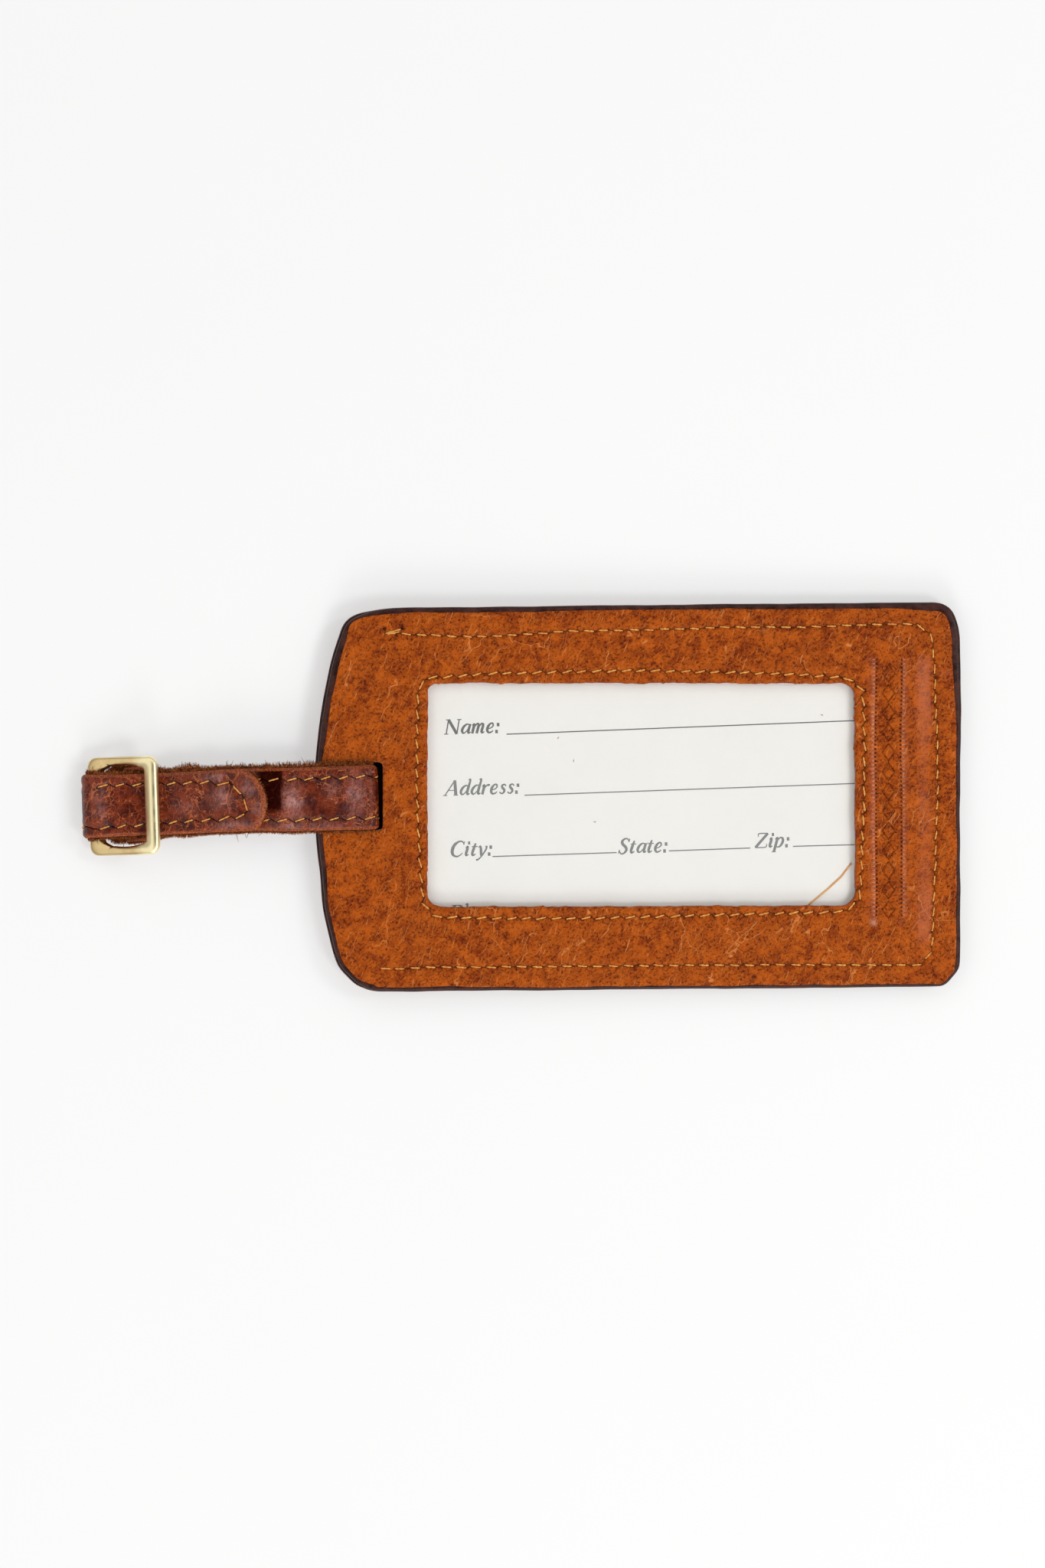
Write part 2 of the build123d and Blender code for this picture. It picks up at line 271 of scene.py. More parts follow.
class Plate:
    """Points in a plane, with lifts and paint marks, that become a sheet of leather with faces and edges."""

    CELL = 0.6

    def __init__(self):
        self.points = []
        self.loops = []
        self.holes = []
        self.cells = {}

    def _in_hole(self, x, y):
        for low, high, path in self.holes:
            if low.x < x < high.x and low.y < y < high.y and inside(x, y, path):
                return True
        return False

    def _cell(self, x, y):
        return int(x // self.CELL), int(y // self.CELL)

    def _free(self, x, y, gap):
        cx, cy = self._cell(x, y)
        for i in (cx - 1, cx, cx + 1):
            for j in (cy - 1, cy, cy + 1):
                for k in self.cells.get((i, j), ()):
                    p = self.points[k]
                    if (p[0] - x) ** 2 + (p[1] - y) ** 2 < gap * gap:
                        return False
        return True

    def add(self, x, y, lift=0.0, mark=0.0, raw=0.0, gap=0.13):
        """Adds a point unless another lies within the gap. A gap of 0 always adds it."""
        if gap and (self._in_hole(x, y) or not self._free(x, y, gap)):
            return None
        self.points.append((x, y, lift, mark, raw))
        self.cells.setdefault(self._cell(x, y), []).append(len(self.points) - 1)
        return len(self.points) - 1

    def loop(self, path, lift=0.0, mark=0.0, raw=0.0):
        """The outline, or after it a hole."""
        ids = [self.add(p.x, p.y, lift, mark, raw, gap=0) for p in path]
        if self.loops:
            xs, ys = [p.x for p in path], [p.y for p in path]
            self.holes.append((Vector((min(xs), min(ys))), Vector((max(xs), max(ys))), path))
        self.loops.append(ids)

    def row(self, path, lift, raw=0.0, gap=0.13):
        for p in path:
            self.add(p.x, p.y, lift, 0.0, raw, gap)

    def _triangles(self, flat):
        """The sheet's triangles between the given points, with the holes left open."""
        edges = [(a, b) for ids in self.loops for a, b in zip(ids, ids[1:] + ids[:1])]
        coords, _, tris, _, _, _ = delaunay_2d_cdt(flat, edges, [], 1, 1e-7)
        key = {(round(p.x, 4), round(p.y, 4)): i for i, p in enumerate(flat)}
        order = []
        for c in coords:
            k = key.get((round(c.x, 4), round(c.y, 4)))
            if k is None:
                k = min(range(len(flat)), key=lambda i: (flat[i] - c).length_squared)
            order.append(k)
        holes = [(set(ids), [flat[i] for i in ids]) for ids in self.loops[1:]]
        kept = []
        for t in tris:
            t = [order[i] for i in t]
            cx = sum(flat[i].x for i in t) / 3
            cy = sum(flat[i].y for i in t) / 3
            gone = any(ids.issuperset(t) and inside(cx, cy, loop) for ids, loop in holes)
            if not gone and len(set(t)) == 3:
                kept.append(t)
        return kept

    def build(self, name, face, back, material):
        """face(x, y, lift) and back(x, y) give a place in metres."""
        flat = [Vector((p[0], p[1])) for p in self.points]
        kept = self._triangles(flat)
        n = len(self.points)
        verts = [face(*p[:3]) for p in self.points] + [back(*p[:2]) for p in self.points]
        faces = [tuple(t) for t in kept] + [(t[2] + n, t[1] + n, t[0] + n) for t in kept]
        marks = [p[3] for p in self.points] * 2
        raws = [p[4] for p in self.points] + [1.0] * n
        # the edges: each wall has its own vertices, so that its raw colour stops at the corner
        for ids in self.loops:
            base = len(verts)
            m = len(ids)
            for i in ids:
                a, b = face(*self.points[i][:3]), back(*self.points[i][:2])
                verts += [a, a.lerp(b, 0.5), b]
                marks += [0.0, 0.3, 0.1]
                raws += [1.0, 1.0, 1.0]
            ring = [flat[i] for i in ids]
            area = sum(p.x * q.y - q.x * p.y for p, q in zip(ring, ring[1:] + ring[:1]))
            flip = (area > 0) != (ids is self.loops[0])
            for k in range(m):
                a, b = base + 3 * k, base + 3 * ((k + 1) % m)
                for q in (0, 1):
                    quad = (a + q, a + q + 1, b + q + 1, b + q)
                    faces.append(quad[::-1] if flip else quad)
        return piece(name, verts, faces, material, {"mark": marks, "raw": raws})


def tubes(name, paths, material, sides=8):
    """Threads and fibres: each path is a list of (place in metres, up, radius in metres, twist or None)."""
    verts, faces = [], []
    for path in paths:
        base = len(verts)
        last = len(path) - 1
        for i, (p, up, r, twist) in enumerate(path):
            ahead = (path[min(i + 1, last)][0] - path[max(i - 1, 0)][0]).normalized()
            side = ahead.cross(up).normalized()
            top = side.cross(ahead).normalized()
            for k in range(sides):
                a = 2 * math.pi * k / sides
                lobe = r * (1 + (0.26 * math.cos(2 * (a - twist)) if twist is not None else 0))
                verts.append(p + side * (math.cos(a) * lobe) + top * (math.sin(a) * lobe))
        for i in range(last):
            for k in range(sides):
                a, b = base + i * sides + k, base + i * sides + (k + 1) % sides
                faces.append((a, b, b + sides, a + sides))
        faces.append(tuple(base + k for k in range(sides))[::-1])
        faces.append(tuple(base + last * sides + k for k in range(sides)))
    return piece(name, verts, faces, material, sharp=0)


def stitch_path(a, b, surface, radius, proud, dip=0.5, turns=2.2, start=0.0, count=13):
    """A stitch of twisted thread from a to b. surface(x, y, h) is the place h mm above the leather."""
    out = []
    for i in range(count):
        t = i / (count - 1)
        u = abs(2 * t - 1)
        h = proud * (1 - u**5) - dip * u**9
        p = a.lerp(b, t)
        here = surface(p.x, p.y, h)
        up = (surface(p.x, p.y, h + 0.2) - here).normalized()
        out.append((here, up, radius * (1.0 - 0.25 * u**8) * MM, start + turns * math.pi * t))
    return out


# ---- Materials ----
def srgb(r, g, b):
    def linear(c):
        c /= 255
        return c / 12.92 if c <= 0.04045 else ((c + 0.055) / 1.055) ** 2.4

    return (linear(r), linear(g), linear(b), 1.0)


class Look:
    """A node material, with short ways to add the nodes it needs. Its coordinates are in millimetres."""

    def __init__(self, name, **values):
        self.m = bpy.data.materials.new(name)
        self.m.use_nodes = True
        self.t = self.m.node_tree
        self.b = next(n for n in self.t.nodes if n.type == "BSDF_PRINCIPLED")
        co = self.t.nodes.new("ShaderNodeTexCoord").outputs["Object"]
        self.mm = self.place(co, scale=(1000, 1000, 1000))
        for k, v in values.items():
            self.b.inputs[k.replace("_", " ")].default_value = v

    def node(self, kind, feeds, **settings):
        """A node with its settings, and its inputs fed with sockets or values."""
        n = self.t.nodes.new("ShaderNode" + kind)
        for k, v in settings.items():
            setattr(n, k, v)
        for k, v in feeds.items():
            self.feed(n.inputs[k], v)
        return n

    def feed(self, socket, value):
        if isinstance(value, bpy.types.NodeSocket):
            self.t.links.new(value, socket)
        else:
            socket.default_value = value

    def place(self, vector=None, scale=(1, 1, 1), move=(0, 0, 0)):
        feeds = {"Vector": vector or self.mm, "Scale": scale, "Location": move}
        return self.node("Mapping", feeds).outputs[0]

    def along(self, degrees, stretch, vector=None):
        """Coordinates drawn out along a direction in the object's plan."""
        feeds = {"Vector": vector or self.mm, "Scale": (stretch, 1, 1)}
        feeds["Rotation"] = (0, 0, math.radians(degrees))
        return self.node("Mapping", feeds, vector_type="TEXTURE").outputs[0]

    def noise(self, size, detail=3, rough=0.55, vector=None):
        feeds = {"Vector": vector or self.mm, "Scale": 1 / size, "Detail": detail, "Roughness": rough}
        return self.node("TexNoise", feeds).outputs[0]

    def cells(self, size, vector):
        """How far it is to the nearest edge between cells."""
        feeds = {"Vector": vector, "Scale": 1 / size}
        return self.node("TexVoronoi", feeds, feature="DISTANCE_TO_EDGE").outputs["Distance"]

    def warp(self, size, amount):
        n = self.node("TexNoise", {"Vector": self.mm, "Scale": 1 / size, "Detail": 2})
        sub = self.node("VectorMath", {0: n.outputs["Color"], 1: (0.5, 0.5, 0.5)}, operation="SUBTRACT")
        feeds = {0: sub.outputs[0], 1: (amount, amount, amount), 2: self.mm}
        return self.node("VectorMath", feeds, operation="MULTIPLY_ADD").outputs[0]

    def span(self, x, lo, hi, out_lo=0.0, out_hi=1.0):
        feeds = {"Value": x, "From Min": lo, "From Max": hi, "To Min": out_lo, "To Max": out_hi}
        return self.node("MapRange", feeds, interpolation_type="SMOOTHSTEP").outputs[0]

    def math(self, op, a, b):
        return self.node("Math", {0: a, 1: b}, operation=op).outputs[0]

    def times(self, a, b):
        return self.math("MULTIPLY", a, b)

    def plus(self, a, b):
        return self.math("ADD", a, b)

    def most(self, a, b):
        return self.math("MAXIMUM", a, b)

    def mix(self, f, a, b):
        n = self.node("Mix", {0: f}, data_type="RGBA")
        colors = [i for i in n.inputs if i.type == "RGBA"]
        self.feed(colors[0], a)
        self.feed(colors[1], b)
        return next(o for o in n.outputs if o.type == "RGBA")

    def tint(self, color, mask, shade, much=None):
        """The colour, with a shade laid over it where the mask says and as strongly as much says."""
        return self.mix(mask if much is None else self.times(mask, much), color, srgb(*shade))

    def tones(self, x, lo, hi, dark, pale):
        """From a dark to a pale colour as x goes from lo to hi."""
        return self.mix(self.span(x, lo, hi), srgb(*dark), srgb(*pale))

    def mark(self, name):
        return self.node("Attribute", {}, attribute_name=name).outputs["Fac"]

    def done(self, color, rough=None, height=None, depth=0.05, strength=1.0):
        self.feed(self.b.inputs["Base Color"], color)
        if rough is not None:
            self.feed(self.b.inputs["Roughness"], rough)
        if height is not None:
            n = self.node("Bump", {"Strength": strength, "Distance": depth * MM, "Height": height})
            self.feed(self.b.inputs["Normal"], n.outputs[0])
        return self.m


def veins(k, size, warp_size, warp_by, thin, keep):
    """Sparse thin crack lines: the edges of warped cells, kept only where a slow noise is high."""
    line = k.span(k.cells(size, k.warp(warp_size, warp_by)), 0.0, thin, 1.0, 0.0)
    where = k.span(k.noise(size * 1.3, 1, vector=k.place(move=(size * 9, 3, 5))), keep, keep + 0.08)
    return k.times(line, where)


def scratches(k, degrees, stretch, size, thin, keep, shift):
    """Fine pale lines that mostly run one way, in patches."""
    lines = k.along(degrees, stretch, k.place(k.warp(2.6, 0.9), move=(shift, 2 * shift, 0)))
    line = k.span(k.cells(size, lines), 0.0, thin, 1.0, 0.0)
    patches = k.noise(size * 1.6, 2, 0.6, k.along(degrees, 2.2, k.place(move=(3, shift, 5))))
    return k.times(line, k.span(patches, keep, keep + 0.07))


def tan_leather():
    k = Look("tan_leather_face", Specular_IOR_Level=0.09)
    mid = k.noise(2.4, 4, 0.65)
    fine = k.noise(0.44, 4, 0.68)
    hair = k.noise(0.42, 3, 0.6, k.along(38, 4.5))
    hair2 = k.noise(0.36, 2, 0.6, k.along(64, 3.5))
    speck = k.span(fine, 0.51, 0.63)
    dent = k.span(k.noise(0.5, 2, 0.5, k.along(20, 1.6)), 0.62, 0.7)
    vein = k.most(veins(k, 9.0, 3.0, 3.2, 0.012, 0.56), scratches(k, 58, 9.0, 2.1, 0.024, 0.55, 7.0))
    vein = k.most(vein, scratches(k, 74, 10.0, 1.9, 0.022, 0.55, 31.0))
    nick = k.span(k.noise(0.34, 1, 0.5, k.along(72, 7)), 0.68, 0.74)
    polish_and_painted_highlight = k.mark("polish_and_painted_highlight")
    color = k.tones(mid, 0.32, 0.68, (119, 42, 3), (182, 85, 15))
    color = k.tint(color, k.span(k.noise(13, 2), 0.35, 0.65, 0.0, 0.4), (172, 80, 15))
    color = k.tint(color, k.span(hair, 0.5, 0.66, 0.0, 0.5), (186, 94, 26))
    color = k.tint(color, k.span(hair2, 0.52, 0.68, 0.0, 0.4), (184, 89, 23))
    color = k.tint(color, k.times(speck, k.span(mid, 0.62, 0.4, 0.55, 1.0)), (82, 26, 3), 0.95)
    color = k.tint(color, dent, (76, 24, 3), 0.6)
    color = k.tint(color, k.most(vein, k.times(nick, 0.6)), (220, 134, 70), 0.72)
    # polished places: the colour is lightened as a painted highlight, and the roughness is lowered below
    color = k.tint(color, polish_and_painted_highlight, (192, 108, 77), 0.5)
    # painted highlights on the beads' rims
    color = k.tint(color, k.mark("painted_bead_highlight"), (222, 158, 128), 0.75)
    # mark: painted shade in needle holes, the creases between stitches and pressed pits, and dark specks on
    # the cut edges
    color = k.tint(color, k.mark("mark"), (39, 13, 4))
    raw = k.tones(k.noise(0.3, 3, 0.7), 0.35, 0.65, (116, 54, 29), (192, 108, 74))
    color = k.mix(k.mark("raw"), color, raw)
    rough = k.math("SUBTRACT", k.span(fine, 0.3, 0.7, 0.46, 0.66), k.times(polish_and_painted_highlight, 0.2))
    lines = k.plus(k.times(hair, 0.8), k.times(vein, -0.9))
    height = k.plus(k.times(speck, -0.6), k.plus(k.times(fine, 0.9), lines))
    return k.done(color, rough, height, 0.07, 0.85)


def brown_leather():
    k = Look("brown_leather_face", Coat_Roughness=0.14)
    mid = k.noise(1.9, 3, 0.6)
    fine = k.noise(0.4, 3, 0.65)
    crack = k.span(k.cells(1.0, k.warp(0.8, 0.9)), 0.0, 0.075, 1.0, 0.0)
    some = k.span(k.noise(2.4, 2, vector=k.place(move=(4, 7, 1))), 0.42, 0.56)
    small = k.span(k.cells(0.45, k.warp(0.5, 0.4)), 0.0, 0.09, 1.0, 0.0)
    little = k.span(k.noise(3.1, 1, vector=k.place(move=(14, 2, 6))), 0.5, 0.62)
    long_crack = k.most(veins(k, 3.4, 1.2, 1.6, 0.026, 0.47), scratches(k, 78, 3.0, 1.6, 0.045, 0.5, 12.0))
    # painted sheen: pale highlight patches laid into the grain's colour
    painted_sheen = k.times(k.mark("painted_sheen"), k.span(k.noise(0.5, 3, 0.7, k.along(70, 2.0)), 0.36, 0.62, 0.25, 1.0))
    color = k.tones(mid, 0.34, 0.66, (68, 15, 4), (124, 46, 17))
    color = k.tint(color, k.span(fine, 0.5, 0.7, 0.0, 0.8), (46, 13, 7))
    color = k.tint(color, k.times(crack, some), (176, 88, 50), 0.8)
    color = k.tint(color, k.times(small, little), (52, 17, 9), 0.5)
    color = k.tint(color, long_crack, (196, 103, 58), 0.75)
    color = k.tint(color, painted_sheen, (194, 148, 144), 0.8)
    # painted dark reflection on the patch beside the billet's tip
    color = k.tint(color, k.mark("deep"), (30, 1, 1))
    raw = k.tones(k.noise(0.28, 3, 0.7), 0.35, 0.65, (104, 46, 22), (178, 92, 52))
    color = k.mix(k.mark("raw"), color, raw)
    # mark: painted shade in needle holes and the creases between stitches; the edge walls are also darker at
    # mid-height
    color = k.tint(color, k.mark("mark"), (24, 6, 4))
    # painted shade where the strap turns down into the slot
    color = k.tint(color, k.mark("painted_shade_no_gloss"), (22, 5, 3))
    open_face = k.math("SUBTRACT", 1.0, k.most(k.mark("painted_shade_no_gloss"), k.mark("deep")))
    k.feed(k.b.inputs["Specular IOR Level"], k.times(open_face, 0.17))
    k.feed(k.b.inputs["Coat Weight"], k.times(open_face, 0.13))
    rough = k.most(k.span(k.noise(0.6, 3, 0.6), 0.3, 0.7, 0.2, 0.4), k.times(k.mark("raw"), 0.85))
    cracks = k.plus(k.times(crack, 0.4), long_crack)
    height = k.math("SUBTRACT", k.plus(k.times(mid, 0.9), k.times(fine, 0.8)), cracks)
    return k.done(color, rough, height, 0.1, 1.0)


def suede():
    k = Look("suede_face", Roughness=0.95, Specular_IOR_Level=0.15)
    color = k.tones(k.noise(0.35, 4, 0.7), 0.35, 0.65, (70, 30, 12), (146, 80, 40))
    color = k.tint(color, k.span(k.noise(2.5, 2), 0.4, 0.7, 0.0, 0.6), (58, 25, 10))
    return k.done(color, None, k.noise(0.18, 3, 0.7), 0.12, 1.0)


def fuzz_look():
    k = Look("fuzz_face", Roughness=0.9, Specular_IOR_Level=0.1)
    return k.done(k.tones(k.noise(0.5, 3, 0.7), 0.36, 0.64, (74, 32, 12), (182, 104, 52)))


def edge_paint():
    k = Look("edge_paint_face", Specular_IOR_Level=0.2)
    n = k.noise(1.6, 3, 0.6)
    color = k.tones(n, 0.3, 0.7, (38, 15, 12), (68, 35, 28))
    color = k.tint(color, k.span(k.noise(0.3, 2), 0.6, 0.75, 0.0, 0.4), (102, 66, 54))
    return k.done(color, k.span(n, 0.3, 0.7, 0.3, 0.5), k.plus(k.noise(0.5, 2, 0.6), n), 0.08, 0.6)


def slot_paint_and_shade():
    # edge paint made darker as painted shade in the narrow slot
    k = Look("slot_shade_and_paint_face", Roughness=0.8, Specular_IOR_Level=0.1)
    color = k.tones(k.noise(0.7, 3, 0.6), 0.35, 0.65, (20, 7, 4), (44, 18, 10))
    return k.done(color, None, k.noise(0.5, 2), 0.05, 0.6)


def thread_look():
    k = Look("thread_face", Roughness=0.6, Specular_IOR_Level=0.35)
    n = k.noise(0.16, 2, 0.6)
    color = k.tones(n, 0.3, 0.7, (200, 128, 46), (240, 186, 100))
    color = k.tint(color, k.span(k.noise(3.5, 1), 0.35, 0.65, 0.0, 0.45), (196, 118, 48))
    return k.done(color, None, n, 0.03, 0.6)


def brass_look():
    k = Look("brass_face", Metallic=1.0)
    color = k.tones(k.noise(3.0, 2, 0.5), 0.3, 0.7, (212, 185, 131), (222, 197, 145))
    color = k.tint(color, k.span(k.noise(0.9, 2), 0.6, 0.75, 0.0, 0.12), (190, 160, 100))
    # painted highlight that lightens the front bar
    color = k.tint(color, k.mark("painted_bar_highlight"), (255, 240, 190))
    rough = k.span(k.noise(0.9, 3, 0.6, k.place(scale=(1, 0.4, 1))), 0.3, 0.7, 0.2, 0.3)
    rough = k.plus(rough, k.times(k.mark("painted_bar_highlight"), 0.1))
    return k.done(color, rough, k.noise(1.6, 2, 0.5), 0.004, 0.3)


def card_look():
    k = Look("card_face", Roughness=0.62)
    n = k.noise(0.3, 3, 0.6)
    return k.done(k.tones(n, 0.3, 0.7, (232, 230, 225), (236, 234, 229)), None, n, 0.008, 0.4)


def vinyl_look():
    k = Look("clear_vinyl_face", Roughness=0.12, Alpha=0.07)
    color = k.tones(k.noise(9, 2), 0.3, 0.7, (246, 246, 243), (252, 252, 250))
    return k.done(color, None, k.noise(7, 2), 0.25, 0.5)


def ink_look(name, shade):
    k = Look(name, Roughness=0.7)
    dark, pale = [(s, s + 2, s + 2) for s in (shade, shade + 14)]
    return k.done(k.tones(k.noise(0.2, 2), 0.35, 0.65, dark, pale))


def floor_look():
    glow = {"Emission_Color": (1, 1, 1, 1), "Emission_Strength": 0.42}
    k = Look("floor_face", Roughness=0.85, Specular_IOR_Level=0.1, **glow)
    return k.done(k.mix(k.noise(60, 2), srgb(187, 187, 187), srgb(189, 189, 188)))


TAN = tan_leather()
BROWN = brown_leather()
SUEDE = suede()
FUZZ = fuzz_look()
EDGE = edge_paint()
SLOT_PAINT_AND_SHADE = slot_paint_and_shade()
THREAD = thread_look()
BRASS = brass_look()
CARD = card_look()
VINYL = vinyl_look()
INK = ink_look("ink_dark", 48)
INK_PALE = ink_look("ink_pale", 92)

# ---- The view: straight down, from far enough for a long lens ----
LENS = 85
SENSOR = 36
VIEW_HEIGHT = 278.5  # how much of the tag's upper face the picture's height shows
cam = bpy.data.cameras.new("view")
cam.lens = LENS
cam.sensor_fit = "VERTICAL"
cam.sensor_height = SENSOR
cam.sensor_width = 24
cam.clip_start = 0.01
camera = bpy.data.objects.new("view", cam)
camera.location = (0.48 * MM, 2.3 * MM, (4 + VIEW_HEIGHT * LENS / SENSOR) * MM)
scene.collection.objects.link(camera)
bpy.context.scene.camera = camera
scene.view_settings.view_transform = "Standard"

# ---- Light: a pale room with a dark ceiling, which keeps the gloss low, and three softboxes ----
world = bpy.data.worlds.new("soft_room")
scene.world = world
world.use_nodes = True
wt = world.node_tree
sky = next(n for n in wt.nodes if n.type == "BACKGROUND")
coord = wt.nodes.new("ShaderNodeTexCoord")
split = wt.nodes.new("ShaderNodeSeparateXYZ")
ramp = wt.nodes.new("ShaderNodeValToRGB")
wt.links.new(coord.outputs["Generated"], split.inputs[0])
wt.links.new(split.outputs["Z"], ramp.inputs[0])
stops = ramp.color_ramp
stops.interpolation = "EASE"
for place, level in ((0.0, 0.3), (0.42, 0.5), (0.64, 1.0), (0.82, 1.0), (0.95, 0.06)):
    stop = stops.elements[0] if place == 0.0 else stops.elements.new(place)
    stop.color = (level, level, level, 1)
stops.elements.remove(stops.elements[len(stops.elements) - 1])
wt.links.new(ramp.outputs["Color"], sky.inputs["Color"])
sky.inputs["Strength"].default_value = 1.09


def softbox(name, place, size, power):
    lamp = bpy.data.lights.new(name, "AREA")
    lamp.shape = "DISK"
    lamp.size = size
    lamp.energy = power
    obj = bpy.data.objects.new(name, lamp)
    obj.location = place
    obj.rotation_euler = (-Vector(place)).to_track_quat("-Z", "Y").to_euler()
    scene.collection.objects.link(obj)


softbox("key", (0.8, -0.62, 1.25), 0.42, 5.8)
softbox("side", (0.95, 0.25, 1.05), 0.3, 2.5)
softbox("front", (0.1, -1.25, 0.75), 0.5, 4.8)

# the floor is a hair lower than the object, whose lowest threads stand out that far
corners = [(x, y, -0.03 * MM) for x, y in ((-2, -2), (2, -2), (2, 2), (-2, 2))]
ground = piece("floor", corners, [(0, 1, 2, 3)], floor_look(), sharp=0)

# ---- Outlines on the tag ----
BOTTOM_LEFT, LEFT_MIDDLE, TOP_LEFT = Vector((-30.2, TAG_LOW)), Vector((TAG_LEFT, 0.1)), Vector((-30.6, 33.3))
TOP_RIGHT, BOTTOM_RIGHT = Vector((TAG_RIGHT, TAG_HIGH)), Vector((TAG_RIGHT, -33.7))


def circle_through(a, b, c):
    d = 2 * (a.x * (b.y - c.y) + b.x * (c.y - a.y) + c.x * (a.y - b.y))
    sides = ((a.length_squared, b, c), (b.length_squared, c, a), (c.length_squared, a, b))
    x = sum(w * (p.y - q.y) for w, p, q in sides) / d
    y = sum(w * (q.x - p.x) for w, p, q in sides) / d
    return Vector((x, y)), (a - Vector((x, y))).length


def tag_outline():
    """Counter-clockwise, from the bottom right corner, with the left end on one arc."""
    centre, r = circle_through(BOTTOM_LEFT, LEFT_MIDDLE, TOP_LEFT)
    first, last = [math.degrees(math.atan2(*(p - centre).yx)) for p in (TOP_LEFT, BOTTOM_LEFT)]
    points = [BOTTOM_RIGHT, TOP_RIGHT] + [centre + p for p in arc_points(r, first, last + 360, 8)]
    radii = [4.0, 4.5, 5.0] + [60.0] * 7 + [7.5]
    return Route(rounded(points, radii), True).even(0.6)


# corners that are rounder than the even outline's: place, reach and how far in, in mm
ROUNDER = [
    (Vector((-30.8, -32.0)), 2.2, 0.45),
    (Vector((76.8, -32.2)), 1.8, 0.5),
    (Vector((77.6, 31.2)), 2.0, 0.4),
]


def overcut(p):
    """How far the cut edge strays outside the even outline, in mm."""
    left = smooth((-26 - p.x) / 6) * (0.4 + 0.45 * smooth((-12 - p.y) / 10))
    right = (0.3 + 0.25 * bump(p.y, 15, 7)) * smooth((p.x - 72) / 4)
    top = 0.3 * smooth((p.y - 28) / 4) * smooth((p.x + 29) / 7)
    bottom = 0.18 * smooth((-28 - p.y) / 4)
    corner = 0.5 * bump(p.x, -29, 3) * smooth((p.y - 20) / 5)
    corner += sum(much * bump((p - place).length, 0, reach) for place, reach, much in ROUNDER)
    stray = 0.12 * wave(p.x, p.y, 16, 2.7) + 0.09 * wave(p.x, p.y, 5.5, 6.1)
    return max(left, right, top, bottom) - corner + stray


def coat_width(p):
    """How much painted edge shows inside the outline, from above."""
    if p.x < -26:
        w = 1.15 + 0.4 * smooth((p.y - 4) / 8) - 0.6 * smooth((p.y - 28) / 5)
    elif p.x > 74 and abs(p.y) < 31:
        w = between([(-30, 0.85), (-10, 0.7), (8, 0.85), (26, 1.55)], p.y)
    elif p.y > 0:
        w = between([(-26, 1.0), (30, 0.95), (64, 1.1), (76, 1.5)], p.x)
    else:
        w = between([(-26, 0.9), (0, 0.65), (74, 0.6)], p.x)
    return w + 0.13 * wave(p.x, p.y, 5, 3.1) + 0.05 * wave(p.x, p.y, 1.3, 8.2)


def window_stray(p):
    """The window's hand-cut edge, with a nick here and there."""
    nick = 0.16 if wave(p.x, p.y, 0.9, 9.9) > 0.52 else 0
    return 0.16 * wave(p.x, p.y, 5, 1.7) + 0.14 * wave(p.x, p.y, 1.1, 4.4) + nick


OUTLINE = shifted(tag_outline(), lambda p: -overcut(p))
PANEL = shifted(OUTLINE, coat_width)
BACK_PANEL = shifted(OUTLINE, lambda p: 0.6 + 0.08 * wave(p.x, p.y, 6, 5.5))
WINDOW_CORNERS = [(-16.4, 20.2), (-16.4, -19.5), (59.6, -19.3), (59.5, 20.2)]
WINDOW = Route(rounded(WINDOW_CORNERS, [1.5, 2.2, 2.6, 2.6], True, 0.25), True).even(0.42)
WINDOW = shifted(WINDOW, window_stray)
SLOT_CORNERS = [(-27.75, 6.2), (-27.75, -5.9), (-24.35, -5.9), (-24.35, 6.2)]
SLOT = Route(rounded(SLOT_CORNERS, 0.8, True, 0.2), True).even(0.4)
HOLES = [WINDOW, SLOT]

# ---- The tag's two seams: one round the window, one round the edge ----
RING = Route(rounded([
    (-16.6, 21.1), (-5.3, 21.9), (16.5, 22.4), (24.6, 22.4), (35.5, 22.2), (46.4, 21.9), (51.8, 21.6),
    (57.9, 21.2), (60.9, 19.0), (61.2, 10.0), (61.1, -2.6), (60.8, -8.0), (60.6, -13.5), (60.2, -18.4),
    (57.6, -20.3), (49.1, -20.6), (35.5, -20.9), (24.6, -21.2), (13.7, -21.5), (-5.0, -21.5), (-14.6, -21.2),
    (-17.2, -19.0), (-17.9, -10.0), (-18.3, 0.0), (-18.3, 10.0), (-18.1, 18.9),
], 0.5), True)
SEAM = Route(rounded([
    (-24.3, 29.1), (-16.2, 28.7), (-8.0, 28.4), (2.9, 29.0), (8.3, 29.4), (27.3, 29.8), (38.2, 30.2),
    (51.8, 30.2), (60.0, 30.5), (70.2, 30.8), (73.0, 28.9), (73.6, 24.0), (74.2, 8.0), (74.2, 0.0),
    (73.9, -8.0), (73.6, -16.0), (73.2, -27.5), (71.0, -29.8), (49.1, -29.8), (24.6, -29.9), (2.9, -30.1),
    (-16.0, -30.2), (-24.6, -30.6),
], 0.9, False))


def seam_stitches(route, pitch, stitch, slant, sway):
    """Pairs of holes, one pair for each stitch of a seam, slanted, as [(a, b)]."""
    count = int((route.length - (0 if route.closed else stitch)) / pitch)
    step = route.length / count if route.closed else pitch
    out = []
    for i in range(count):
        d = (i + 0.5) * step + rng.uniform(-0.1, 0.1)
        t = route.heading(d, stitch / 2)
        run = turned(t, math.radians(slant + rng.uniform(-3, 3)))
        p = route.at(d) + left_of(t) * rng.uniform(-sway, sway)
        half = stitch / 2 * rng.uniform(0.93, 1.06)
        out.append((p - run * half, p + run * half))
    return out


